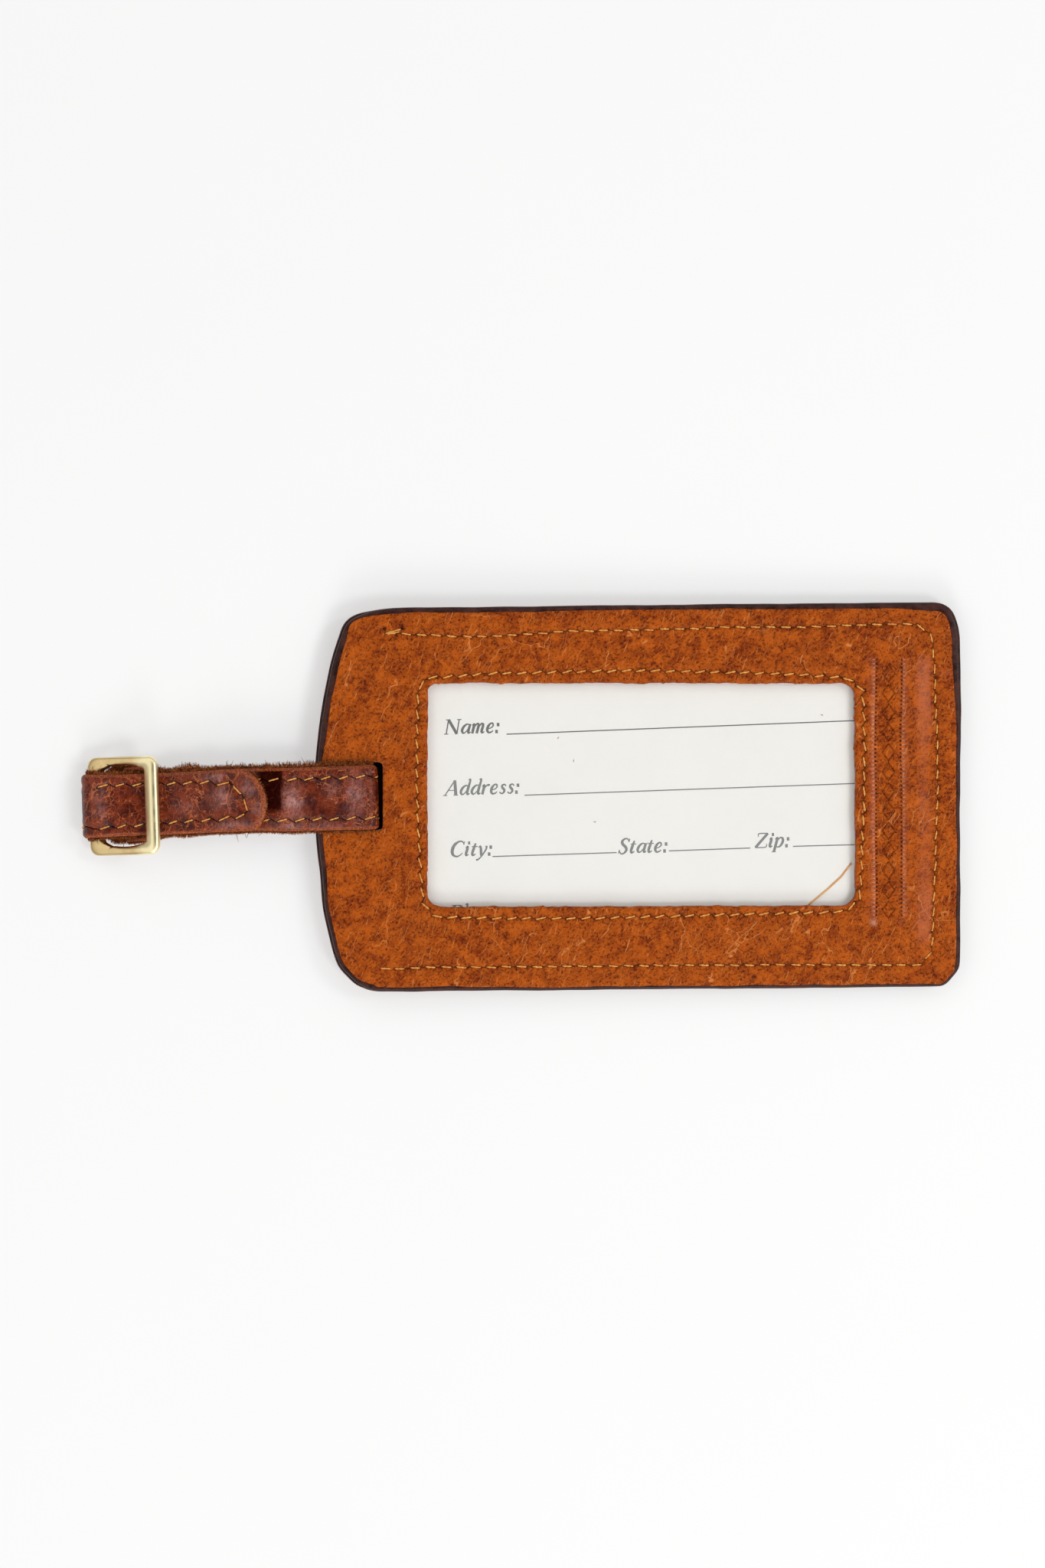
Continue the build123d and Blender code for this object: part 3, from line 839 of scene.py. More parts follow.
def press_seam(plate, route, stitches, depth, hole_mark, slit_mark, slit_depth=0.14, flank=0.15):
    """Marks the needle holes, the creases between stitches and the pressed groove of a seam on a plate; the
    holes and creases get a dark mark, which is painted shade.
    """
    for a, b in stitches:
        for p in (a, b):
            plate.add(p.x, p.y, -0.42, hole_mark, gap=0.06)
            for q in arc_points(0.2, 0, 300, 5):
                plate.add(p.x + q.x, p.y + q.y, -depth - 0.06, hole_mark * 0.55, gap=0.09)
    pairs = list(zip(stitches, stitches[1:] + (stitches[:1] if route.closed else [])))
    for (_, a), (b, _) in pairs:
        gap = b - a
        if gap.length < 0.3 or gap.length > 3.5:
            continue
        n = left_of(gap).normalized()
        steps = max(2, int(gap.length / 0.22))
        for k in range(1, steps):
            t = k / steps
            p = a + gap * t + n * (0.08 * math.sin(2 * math.pi * t))
            plate.add(p.x, p.y, -depth - slit_depth, slit_mark, gap=0.08)
            for s in (-1, 1):
                q = p + n * (s * flank)
                plate.add(q.x, q.y, -depth + 0.02, gap=0.1)
    steps = int(route.length / 0.42)
    for i in range(steps):
        d = route.length * (i + 0.5) / steps
        p, n = route.at(d), left_of(route.heading(d, 0.5))
        for off in (0.0, -0.32, 0.32, -0.7, 0.7, -1.15, 1.15):
            q = p + n * off
            plate.add(q.x, q.y, 0.03 * bump(abs(off), 0.95, 0.4) - depth * bump(off, 0, 0.42), gap=0.22)


ring_stitches = seam_stitches(RING, 2.62, 1.8, 12, 0.05)
edge_stitches = seam_stitches(SEAM, 2.7, 1.75, -5, 0.06)
back_stitches = seam_stitches(SEAM, 2.7, 1.75, 5, 0.06)


def panel_points(outline, holes, seams, edge_drop):
    plate = Plate()
    plate.loop(outline, -edge_drop)
    for hole in holes:
        plate.loop(hole, -0.18, 0.1, 0.6)
        for i in plate.loops[-1]:
            x, y, lift, mark, raw = plate.points[i]
            if wave(x, y, 0.9, 7.7) > 0.3:
                plate.points[i] = (x, y, lift - 0.1, 0.85, raw)
    for route, stitches, mark in seams:
        press_seam(plate, route, stitches, 0.13, mark, mark * 0.8)
    # two spare needle holes where the top seam starts, darkened as painted shade
    for x, y in ((-24.1, 29.85), (-21.0, 29.95)):
        plate.add(x, y, -0.35, 0.95, gap=0.06)
        for r, lift, mark in ((0.16, -0.3, 0.9), (0.33, -0.1, 0.45)):
            for q in arc_points(r, 0, 315, 7):
                plate.add(x + 1.2 * q.x, y + q.y, lift, mark, gap=0.06)
    plate.row(shifted(outline, 0.22), -edge_drop * 0.3, gap=0.15)
    plate.row(shifted(outline, 0.55), 0.0, gap=0.3)
    for hole in holes:
        plate.row(shifted(hole, -0.2), -0.02, gap=0.15)
        plate.row(shifted(hole, -0.5), 0.0, gap=0.28)
    return plate


def fill(plate, outline, holes, step):
    """Points all over the plate, each second row half a step along."""
    y, row = TAG_LOW, 0
    while y < TAG_HIGH:
        x = TAG_LEFT + (step / 2 if row % 2 else 0)
        while x < TAG_RIGHT:
            px, py = x + rng.uniform(-0.12, 0.12) * step, y + rng.uniform(-0.12, 0.12) * step
            if inside(px, py, outline) and not any(inside(px, py, h) for h in holes):
                plate.add(px, py, gap=0.5)
            x += step
        y += step * 0.87
        row += 1


# ---- The front panel, with its pressed lines at the far end ----
front = panel_points(PANEL, HOLES, [(RING, ring_stitches, 0.95), (SEAM, edge_stitches, 0.8)], 0.16)
LINE_TOP, LINE_BOTTOM = 24.4, -22.2
BEAD = 0.72
BEADS = int((LINE_TOP - LINE_BOTTOM) / BEAD)
BEADED_LINES = ((63.1, 1), (67.85, -1))  # each line's x, and the side its beads lean to


def bead_x(line_x, side, run):
    """The middle of a beaded line, at a distance from its top."""
    return line_x + 0.12 * side + 0.25 * wave(line_x, run, 12, 2.2)


for line_x, side in BEADED_LINES:
    for i in range(BEADS):
        x, y = bead_x(line_x, side, i * BEAD), LINE_TOP - i * BEAD
        deep = 0.2 * (0.8 + 0.5 * wave(x, y, 3, 6.1))
        # each bead is a pit with its middle darkened as painted shade
        front.add(x, y, -deep - 0.05, 0.8, gap=0.05)
        for k in range(7):
            t = k * math.pi * 2 / 7
            front.add(x + 0.13 * math.cos(t), y + 0.13 * math.sin(t), -deep, 0.66, gap=0.06)
            front.add(x + 0.25 * math.cos(t + 0.4), y + 0.25 * math.sin(t + 0.4), -0.02, gap=0.07)
        for k in (-2, -1, 0, 1, 2):
            t = k * 0.42
            front.add(x - side * 0.4 * math.cos(t), y + 0.4 * math.sin(t), 0.03, gap=0.08)
    for i in range(BEADS):
        for off in (-0.85, 0.85):
            front.add(line_x + off, LINE_TOP - i * BEAD, 0.03, gap=0.2)
# a row of plain lozenges between the two lines, their pressed outlines darkened as painted shade
LOZENGE = [Vector((1.1, 0)), Vector((0, 1.5)), Vector((-1.1, 0)), Vector((0, -1.5)), Vector((1.1, 0))]
for i in range(13):
    cy = LINE_TOP - 2.4 - i * 3.5
    cx = 65.45 + 0.1 * wave(cy, 0, 5, 1)
    front.add(cx, cy, -0.05, gap=0.1)
    for k in range(28):
        side, f = divmod(k / 7, 1)
        p = LOZENGE[int(side)].lerp(LOZENGE[int(side) + 1], f)
        front.add(cx + p.x, cy + p.y, -0.2, 0.42 + 0.2 * wave(p.x, cy + p.y, 0.8, 3), gap=0.08)
        front.add(cx + p.x * 0.78, cy + p.y * 0.8, -0.05, gap=0.1)
        front.add(cx + p.x * 1.24, cy + p.y * 1.2, 0.0, gap=0.12)
fill(front, PANEL, HOLES, 1.0)
FACE = TAG_THICK - 0.06
GROOVE = 0.13


def front_swell(x, y):
    """The leather's own waviness, in mm, and the shallow pressed strip beside the far seam."""
    z = 0.05 * wave(x, y, 11, 0.5) + 0.022 * wave(x, y, 3.2, 4.5) + 0.012 * wave(x, y, 1.2, 7.5)
    strip = smooth((x - 69.9) / 1.4) * smooth((73.0 - x) / 0.35)
    strip *= smooth((25.8 - y) / 2) * smooth((y + 28) / 3)
    return z - 0.08 * strip


def on_front(x, y, h):
    """h mm above the bottom of the seams' groove."""
    return tag_point(x, y, FACE - GROOVE + front_swell(x, y) + h)


def front_polish_and_highlight(x, y):
    """Where the front is polished and a highlight is painted on it: the pressed strip, beside the beaded
    lines, a spot near the corner.
    """
    strip = smooth((x - 69.9) / 1.6) * smooth((73.1 - x) / 0.3)
    strip *= smooth((25.8 - y) / 2.5) * smooth((y + 28) / 5)
    strip *= 0.45 + 0.55 * max(smooth((y - 8) / 8), smooth((-14 - y) / 8))
    strip *= 0.85 + 0.5 * wave(x, y, 4, 3.3)
    lines = 0.0
    if LINE_BOTTOM < y < LINE_TOP:
        lines = max(0.8 * bump(x, 62.7, 0.5), 0.5 * bump(x, 68.3, 0.5)) * (0.7 + 0.4 * wave(x, y, 5, 1.2))
    blotch = 0.7 * bump(x, 75.6, 0.9) * bump(y, 22.0, 0.5)
    return max(0.0, min(1.0, max(strip, lines, blotch)))


def front_bead_highlight(x, y):
    """Painted highlights: pale crescents beside the beads, on one side of each bead's rim."""
    if not LINE_BOTTOM - 0.4 < y < LINE_TOP + 0.4:
        return 0.0
    bead = max(0.0, math.cos(2 * math.pi * (LINE_TOP - y) / BEAD))
    edges = [bump(x, bead_x(at, side, LINE_TOP - y) - side * 0.38, 0.2) for at, side in BEADED_LINES]
    return bead * max(edges) * (0.8 + 0.5 * wave(x, y, 4, 8.8))


def front_face(x, y, lift):
    return tag_point(x, y, FACE + lift + front_swell(x, y))


panel_front = front.build("panel_front", front_face, lambda x, y: tag_point(x, y, POCKET_TOP + 0.01), TAN)
places = [(v.co - TAG_O) / MM for v in panel_front.data.vertices]
for key, value in (("polish_and_painted_highlight", front_polish_and_highlight), ("painted_bead_highlight", front_bead_highlight)):
    add_mark(panel_front.data, key, [value(p.dot(TAG_X), p.dot(TAG_Y)) for p in places])
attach(panel_front, "tag")
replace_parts(panel_front, "window_panel")

# ---- The back panel, whose outer face looks down ----
back = panel_points(BACK_PANEL, [SLOT], [(SEAM, back_stitches, 0.8)], 0.12)
fill(back, BACK_PANEL, [SLOT], 1.35)


def back_face(x, y, lift):
    return tag_point(x, y, 0.05 - lift + 0.03 * wave(x, y, 9, 6.5))


panel_back = back.build("panel_back", back_face, lambda x, y: tag_point(x, y, BASE_THICK - 0.01), TAN)
panel_back.data.flip_normals()
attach(panel_back, "tag")
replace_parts(panel_back, "base_panel")


# ---- The tag's stitching ----
def on_back(x, y, h):
    return tag_point(x, y, 0.05 + GROOVE - h)


def sew(name, stitches, surface, radius, proud):
    paths = [stitch_path(a, b, surface, radius, proud, start=rng.uniform(0, 3)) for a, b in stitches]
    obj = tubes(name, paths, THREAD)
    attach(obj, "tag")
    return obj


# the top seam starts with a short doubled-back stitch
tack = [
    (Vector((-24.0, 28.95)), Vector((-21.0, 29.8))),
    (Vector((-23.7, 28.85)), Vector((-21.3, 29.3))),
    (Vector((-24.9, -30.35)), Vector((-22.9, -30.45))),
]
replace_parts(sew("window_seam", ring_stitches, on_front, 0.14, 0.1), "window_stitching")
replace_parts(sew("edge_seam", edge_stitches + tack, on_front, 0.13, 0.09), "perimeter_stitching")
sew("edge_seam_back", back_stitches, on_back, 0.155, 0.07)


# ---- The painted edge, in three bands ----
def band(name, section_at):
    """A closed band round the tag: a section is a list of (inward from the outline, height)."""
    verts = []
    for p, t in headings(OUTLINE):
        section = section_at(p)
        for inward, h in section:
            q = p + left_of(t) * inward
            verts.append(tag_point(q.x, q.y, h))
    faces = list(rings_joined(len(OUTLINE), len(section)))
    obj = piece(name, verts, faces, EDGE, sharp=60)
    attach(obj, "tag")
    return obj


def upper_section(p):
    """It stands back from the lower layer's edge, most of all at the left end."""
    w = coat_width(p)
    o = 0.12 + 0.38 * smooth((-24 - p.x) / 6) + 0.06 * wave(p.x, p.y, 3, 2.6)
    r = 0.04 * wave(p.x, p.y, 1.8, 1.1)
    return [
        (w + 0.3, 3.52), (w - 0.02, 3.53), ((w + o) / 2 + 0.05, 3.5 + r), (o + 0.22, 3.38 + r),
        (o + 0.06, 3.18), (o, 2.95 + r), (o + 0.03, 2.7), (o + 0.12, 2.48), (o + 0.3, 2.36), (w + 0.3, 2.3),
    ]


def lower_section(p):
    w = 0.9
    r = 0.04 * wave(p.x, p.y, 1.6, 7.1)
    return [
        (w, 1.52), (0.4, 1.5), (0.14, 1.42), (0.02, 1.2), (0.0, 0.95 + r), (0.03, 0.6), (0.12, 0.34),
        (0.32, 0.18 + r), (w, 0.16),
    ]


def middle_section(p):
    """The pocket's filler between the two, which shrinks away where the card's end comes out."""
    if p.x < -20 and abs(p.y) < POCKET_HALF:
        return [(1.9, 1.9 + 0.01 * i) for i in range(6)]
    return [(1.2, 2.34), (0.22, 2.34), (0.12, 2.1), (0.1, 1.8), (0.18, 1.48), (1.2, 1.46)]


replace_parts(band("edge_upper", upper_section), "edge_coat")
band("edge_lower", lower_section)
band("edge_middle", middle_section)


# ---- The slot's painted wall, dark as painted shade, and a dark ledge that stands in for shade ----
def strap_face_x(y):
    """Where the strap's grain face stands in the slot, in the tag's frame."""
    ends = [(strap_point(SLOT_RUN + PLY + 0.09, v, 1.0) - TAG_O) / MM for v in (-6.0, 6.0)]
    (x0, y0), (x1, y1) = [(d.dot(TAG_X), d.dot(TAG_Y)) for d in ends]
    return x0 + (x1 - x0) * (y - y0) / (y1 - y0)


def slot_edge():
    """A painted wall round the slot, darker than the edge paint as painted shade, open where the card
    passes, with a low dark ledge up to the strap that stands in for the shade in the gap beside it.
    """
    heights = (3.5, 3.1, 2.4, 1.4, 0.9, 0.35)
    ledge_top, ledge_left = 1.1, -26.6
    ledge_low, ledge_high = -5.45, 5.35
    verts, faces = [], []
    for p, t in headings(shifted(SLOT, -0.03)):
        for k, h in enumerate(heights):
            q = p + left_of(t) * (0.06 + 0.03 * wave(p.x, p.y, 0.8, 3 + k))
            verts.append(tag_point(q.x, q.y, h))
        y = min(max(p.y, ledge_low), ledge_high)
        x = min(max(p.x, ledge_left), strap_face_x(y) - 0.3)
        verts += [tag_point(x, y, ledge_top), tag_point(x, y, heights[-1])]
    n, w = len(SLOT), len(heights) + 2
    for i in range(n):
        a, b = i * w, ((i + 1) % n) * w
        # the wall, then the ledge's upper face, its front and its underside
        for k, m in ((0, 1), (1, 2), (3, 4), (4, 5), (4, 6), (6, 7), (7, 5)):
            faces.append((b + k, b + m, a + m, a + k))
    obj = piece("slot_edge", verts, faces, SLOT_PAINT_AND_SHADE, sharp=50)
    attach(obj, "tag")


slot_edge()

# ---- The strap's route in its side view ----
CHAPE_Z = 2 * PLY + LAY + 0.6 + LAY + PLY
BILLET_Z = CHAPE_Z + 2 * PLY + LAY
WRAP = math.radians(10)
RISE_START = -62.5
HUMP = (-43.0, 7.25)
SETTLE = -36.0
TIP = -44.5
CHAPE_START = BAR_X + 1.15 * math.sin(WRAP) + 4.3
BAR_MIDDLE = Vector((BAR_X, BAR_Z))


def over_tag(x):
    """The height of the strap's middle where it lies on the tag."""
    return (REST_LINE - x) * math.tan(TILT) + TAG_THICK + LAY + PLY


wrap_end = (BAR_X + FOLD_RADIUS * math.sin(WRAP), BAR_Z + FOLD_RADIUS * math.cos(WRAP))
rise = (HUMP[1] - CHAPE_Z) / (HUMP[0] - RISE_START)
billet_flat = wrap_end[0] + (wrap_end[1] - BILLET_Z) / math.tan(WRAP)
billet_rise = RISE_START - (BILLET_Z - CHAPE_Z) * math.tan(math.atan(rise) / 2)
billet_tip = (TIP, BILLET_Z + (TIP - billet_rise) * rise)
lower_part = [
    (CHAPE_START, CHAPE_Z), (RISE_START, CHAPE_Z), HUMP, (SETTLE, over_tag(SETTLE)),
    (SLOT_RUN, over_tag(SLOT_RUN)), (SLOT_RUN, PLY), (BAR_X, PLY),
]
lower_part = rounded(lower_part, [0, 14, 9, 10, 1.1, 1.1, 0], False, 0.12)
wrap_part = [BAR_MIDDLE + p for p in arc_points(FOLD_RADIUS, 270, 80, 60)[1:]]
upper_part = [wrap_end, (billet_flat, BILLET_Z), (billet_rise, BILLET_Z), billet_tip]
upper_part = rounded(upper_part, [0, 4.0, 15.6, 0], False, 0.12)[1:]
STRAP = Route(Route(lower_part + wrap_part + upper_part).even(0.1))
WRAP_END = lengths(lower_part + wrap_part)[-1]
SLOT_TOP = next(i * 0.1 for i in range(2000) if STRAP.at(i * 0.1).x > SLOT_RUN - 1.2)
# the strap's small kinks beside the billet's tip: place, reach and height
KINKS = ((-43.3, 1.1, -0.16), (-40.6, 1.2, 0.1), (-32, 2.4, -0.06), (-29.0, 0.9, 0.07))


def on_strap(d, v, h):
    """The place at length d along the strap, v across it and h mm out from the line between its plies."""
    p = STRAP.at(d)
    kink = 0.0 if d > SLOT_TOP else sum(lift * bump(p.x, at, reach) for at, reach, lift in KINKS)
    q = p + left_of(STRAP.heading(d, 0.3)) * (h + kink)
    return strap_point(q.x, v, max(0.0, q.y))


def along_of(s, start=0.0):
    """The length along the strap where it passes s, from a length that lies before it."""
    d = start
    while STRAP.at(d).x < s and d < STRAP.length:
        d += 0.05
    return d


# ---- The strap's outline, opened out ----
TOP_LINE = [(-78, 5.7), (-74, 5.5), (-64, 5.45), (-49, 5.75), (-40, 5.6), (-26, 5.65)]
BOTTOM_LINE = [(-78, -5.75), (-74, -5.55), (-63, -5.44), (-47, -5.3), (-40, -5.6), (-26, -5.7)]


def strap_edge(d, line, wider, seed):
    """v of an edge at a length along the strap. The floor run is wider beside the buckle."""
    s = STRAP.at(d).x
    e = between(line, s)
    if d < WRAP_END - 4:
        e += wider * smooth((-61.5 - s) / 5.5) * smooth((s + 74.1) / 1.8)
    return e + 0.07 * wave(d, seed, 4, 2.9) + 0.05 * wave(d, seed, 0.9, 5.9)


def top_edge(d):
    return strap_edge(d, TOP_LINE, 1.15, 0)


def bottom_edge(d):
    return strap_edge(d, BOTTOM_LINE, -1.05, 9)


TIP_CENTRE, TIP_R = circle_through(Vector((-49.2, 5.9)), Vector((-44.7, -1.2)), Vector((-47.4, -5.9)))


def strap_loop(top, bottom, grow=0.0):
    """The outline of the whole strip: length along it and place across it, with the rounded tip."""
    count = int(STRAP.length / 0.5)
    tip_from = along_of(-49.6, WRAP_END)
    lower = [d for d in (STRAP.length * i / count for i in range(count + 1)) if d < tip_from]
    out = [Vector((d, bottom(d))) for d in lower]
    # round the tip, from the lower edge up
    low = -5.55 - TIP_CENTRE.y
    a0 = math.atan2(low, math.sqrt(TIP_R**2 - low**2))
    a1 = math.atan2(5.75 - TIP_CENTRE.y, -49.15 - TIP_CENTRE.x)
    base_d = along_of(-50.0, WRAP_END)
    slope = math.sqrt(1 + rise * rise)
    for i in range(30):
        r = TIP_R + grow + 0.05 * math.sin(i * 1.9) + 0.04 * math.sin(i * 4.7)
        a = a0 + (a1 - a0) * i / 29
        p = TIP_CENTRE + Vector((math.cos(a), math.sin(a))) * r
        d = base_d + (p.x + 50.0) * slope
        there = min(d, STRAP.length)
        out.append(Vector((d, min(max(p.y, bottom(there)), top(there)))))
    out += [Vector((d, top(d))) for d in reversed(lower)]
    clean = [out[0]]
    for p in out[1:]:
        if (p - clean[-1]).length > 0.12:
            clean.append(p)
    return Route(clean, True).even(0.5)


# ---- The strap's stitching, opened out: (length along the strap, place across it) ----
PITCH = 3.07
STITCH = 1.78
STITCH_SLANT = 16.0


def row(first, centre, v_of):
    """Stitches from a length to the billet's tip, one of them centred on a given length, left to right."""
    out = []
    k = math.ceil((first + STITCH / 2 - centre) / PITCH)
    while centre + k * PITCH + STITCH / 2 < end_d:
        d = centre + k * PITCH + rng.uniform(-0.08, 0.08)
        a = math.radians(STITCH_SLANT + rng.uniform(-3, 3))
        half = STITCH / 2 * rng.uniform(0.94, 1.05)
        p = Vector((d, v_of(d) + rng.uniform(-0.05, 0.05)))
        r = Vector((math.cos(a), math.sin(a))) * half
        out.append((p - r, p + r))
        k += 1
    return out


def upper_v(d):
    return between([(30, 3.6), (60, 3.7), (WRAP_END, 3.55)], d)


def lower_v(d):
    return between([(30, -3.6), (60, -3.7), (WRAP_END - 6, -3.8), (WRAP_END, -3.85), (end_d, -3.2)], d)


def billet_low_v(d):
    return between([(WRAP_END, -3.85), (billet_low_d, -3.15)], d)


# five stitches round the tip, from hole to hole, along the strap's straight axis
TIP_HOLES = [
    ((-53.4, 2.97), (-51.2, 3.43)), ((-50.5, 2.84), (-49.1, 1.28)), ((-48.6, 0.47), (-48.0, -1.7)),
    ((-48.6, -2.26), (-50.2, -3.05)), ((-51.3, -2.51), (-53.3, -3.37)),
]
tip_stitches = [tuple(Vector((along_of(s, WRAP_END), v)) for s, v in pair) for pair in TIP_HOLES]
end_d = along_of(-53.9, WRAP_END)
billet_d = along_of(-61.7, WRAP_END)
billet_low_d = along_of(-54, WRAP_END)
upper_row = row(0.5, along_of(-37.3), upper_v)
lower_row = row(0.5, along_of(-36.1), lower_v)
# on the billet both rows keep their own places
upper_row = [p for p in upper_row if p[1].x < WRAP_END - 1.5]
upper_row += row(WRAP_END - 1.2, billet_d, lambda d: 3.55)
lower_row = [p for p in lower_row if p[1].x < WRAP_END - 1.5]
lower_row += row(WRAP_END - 1.2, billet_d + 0.1, billet_low_v)
strap_stitches = upper_row + tip_stitches + [(b, a) for a, b in reversed(lower_row)]
seam_line = Route([a.lerp(b, t) for a, b in strap_stitches for t in (0.25, 0.75)])

# ---- The strap's grain side ----
GRAIN = PLY - 0.03


def dome(v):
    return 0.05 * (1 - (v / 5.6) ** 2)


def grain_face(d, v, lift):
    rough_wave = 0.035 * wave(d, v, 3.3, 2.2) + 0.02 * wave(d, v, 1.1, 5.2)
    return on_strap(d, v, GRAIN + lift + dome(v) + rough_wave)


def at_tip(p):
    return smooth((p.x - end_d - 2.5) / 2)


def fill_strap(plate, loop, places, margin, jitter, gap):
    """Points all over an opened-out ply, except near its edges."""
    for d, v in places:
        if top_edge(d) - margin > v > bottom_edge(d) + margin and (d < end_d or inside(d, v, loop)):
            plate.add(d + rng.uniform(-jitter, jitter), v + rng.uniform(-jitter, jitter), gap=gap)


grain = Plate()
grain_loop = strap_loop(top_edge, bottom_edge)
grain.loop(grain_loop, -0.5, 0.0, 1.0)
press_seam(grain, seam_line, strap_stitches, 0.12, 1.0, 0.9, 0.2, 0.17)
grain.row(shifted(grain_loop, 0.2), -0.27, 1.0, gap=0.14)
grain.row(shifted(grain_loop, lambda p: 0.42 + 0.3 * at_tip(p)), -0.06, 0.8, gap=0.16)
grain.row(shifted(grain_loop, lambda p: 0.58 + 0.4 * at_tip(p)), 0.0, gap=0.14)
grain.row(shifted(grain_loop, 0.9), 0.0, gap=0.3)
fill_strap(grain, grain_loop, grid(0.3, STRAP.length - 0.3, 0.55, -5.4, 5.5, 0.5), 0.7, 0.1, 0.32)
strap_grain = grain.build("strap_grain", grain_face, lambda d, v: on_strap(d, v, 0.01), BROWN)

DARK_FROM, DARK_TO = along_of(-45.6), along_of(-42.05)


def deep(d, v):
    """The dark patch beside the billet's tip: a painted dark reflection, and the grain there has no gloss.
    """
    if not DARK_FROM - 4 < d < DARK_TO + 1:
        return 0.0
    edge = DARK_TO + 0.12 * wave(v, 0, 1.5, 3)
    along = smooth((d - DARK_FROM + 1) / 1.2) * (1 - smooth((d - edge) / 0.25))
    return along * smooth((v + 2.7) / 1.3) * 0.93


def painted_shade_no_gloss(d, v):
    """Where the strap turns down into the slot: painted shade, and no gloss."""
    return smooth((d - SLOT_TOP - 1.2) / 0.9) * (1 - smooth((d - SLOT_TOP - 8) / 3))


# places where a sheen is painted on the grain as a highlight: along, across, half length, half width, how
# much
PAINTED_SHEEN_CHAPE = [
    (-40.2, -0.6, 1.6, 2.4, 1.0), (-28.9, 0.0, 1.7, 3.6, 0.6), (-41.2, -4.6, 2.6, 0.9, 0.7),
    (-34.5, -4.7, 4.0, 0.7, 0.35), (-33.0, 1.5, 1.5, 1.6, 0.3),
]
PAINTED_SHEEN_BILLET = [
    (-52.5, 0.6, 1.7, 1.7, 0.7), (-50.0, -4.3, 3.2, 0.9, 0.6), (-47.4, 2.6, 1.3, 1.8, 0.6),
    (-74.3, 0.3, 0.8, 3.2, 0.6), (-53.6, 4.4, 2.2, 0.7, 0.55), (-59.0, -0.5, 2.0, 1.2, 0.25),
    (-46.0, -1.0, 0.9, 1.8, 0.5),
]


# how strong the painted highlight is at a place on the grain
def painted_sheen(d, v):
    s = STRAP.at(d).x
    spots = PAINTED_SHEEN_CHAPE if d < SLOT_TOP else PAINTED_SHEEN_BILLET if d > WRAP_END - 3 else []
    glints = [much * bump(s, s0, rs) * bump(v, v0, rv) for s0, v0, rs, rv, much in spots]
    strongest = max(glints, default=0.0)
    return strongest * (0.8 + 0.6 * wave(d, v, 1.6, 6.6))


# walls and the back have none of these marks
unmarked = [0.0] * (len(strap_grain.data.vertices) - len(grain.points))
for key, value in (("deep", deep), ("painted_shade_no_gloss", painted_shade_no_gloss), ("painted_sheen", painted_sheen)):
    add_mark(strap_grain.data, key, [value(*p[:2]) for p in grain.points] + unmarked)


# ---- The strap's lining, which stands out a little past the grain ----
def by_bar(d):
    """How much of its overhang is kept: little on the floor run near the bar, where the frame turns."""
    return 1.0 if d > WRAP_END - 4 else 0.15 + 0.85 * smooth((STRAP.at(d).x + 74) / 2)


def lining_top(d):
    return top_edge(d) + by_bar(d) * (0.34 + 0.13 * wave(d, 3, 0.8, 1.4) + 0.16 * wave(d, 3, 3, 7.4))


def lining_bottom(d):
    return bottom_edge(d) - by_bar(d) * (0.12 + 0.1 * wave(d, 5, 0.8, 1.4) + 0.1 * wave(d, 5, 3, 7.4))


def lining_face(d, v, lift):
    return on_strap(d, v, -PLY - lift + 0.02 * wave(d, v, 1.2, 3))


lining = Plate()
lining_loop = strap_loop(lining_top, lining_bottom, -0.12)
lining.loop(lining_loop, -0.12)
lining.row(shifted(lining_loop, 0.3), 0.0, gap=0.2)
fill_strap(lining, lining_loop, grid(0.4, STRAP.length - 0.3, 0.8, -5.2, 5.9, 0.8), 0.0, 0.15, 0.4)
strap_lining = lining.build("strap_lining", lining_face, lambda d, v: on_strap(d, v, 0.0), SUEDE)
strap_lining.data.flip_normals()


# ---- The strap's thread, which stays in its groove on the floor and through the slot ----
def on_grain(d, v, h):
    return on_strap(d, v, GRAIN - 0.12 + dome(v) + h)


def pressed(stitch):
    d = stitch[0].x
    in_slot = abs(STRAP.heading(d, 0.3).x) < 0.7 and d < WRAP_END - 12
    return in_slot or STRAP.at(d).y < PLY + 0.5


thread_paths = []
for down, radius, proud, dip in ((False, 0.125, 0.1, 0.45), (True, 0.12, -0.02, 0.4)):
    for a, b in [s for s in strap_stitches if pressed(s) == down]:
        thread_paths.append(stitch_path(a, b, on_grain, radius, proud, dip, 2.4, rng.uniform(0, 3)))
strap_thread = tubes("strap_seam", thread_paths, THREAD)


# ---- Loose fibres along the strap's edges ----
def fibre(d, v, h, reach, lean, curl, r):
    """A fibre that starts at the strap's edge: reach is how far out, lean along, curl up."""
    out = []
    for t in (0, 1 / 3, 2 / 3, 1):
        place = on_strap(d + lean * t, v + reach * t, h + curl * t * t)
        out.append((place, UP, r * (1 - 0.7 * t) * MM, None))
    return out


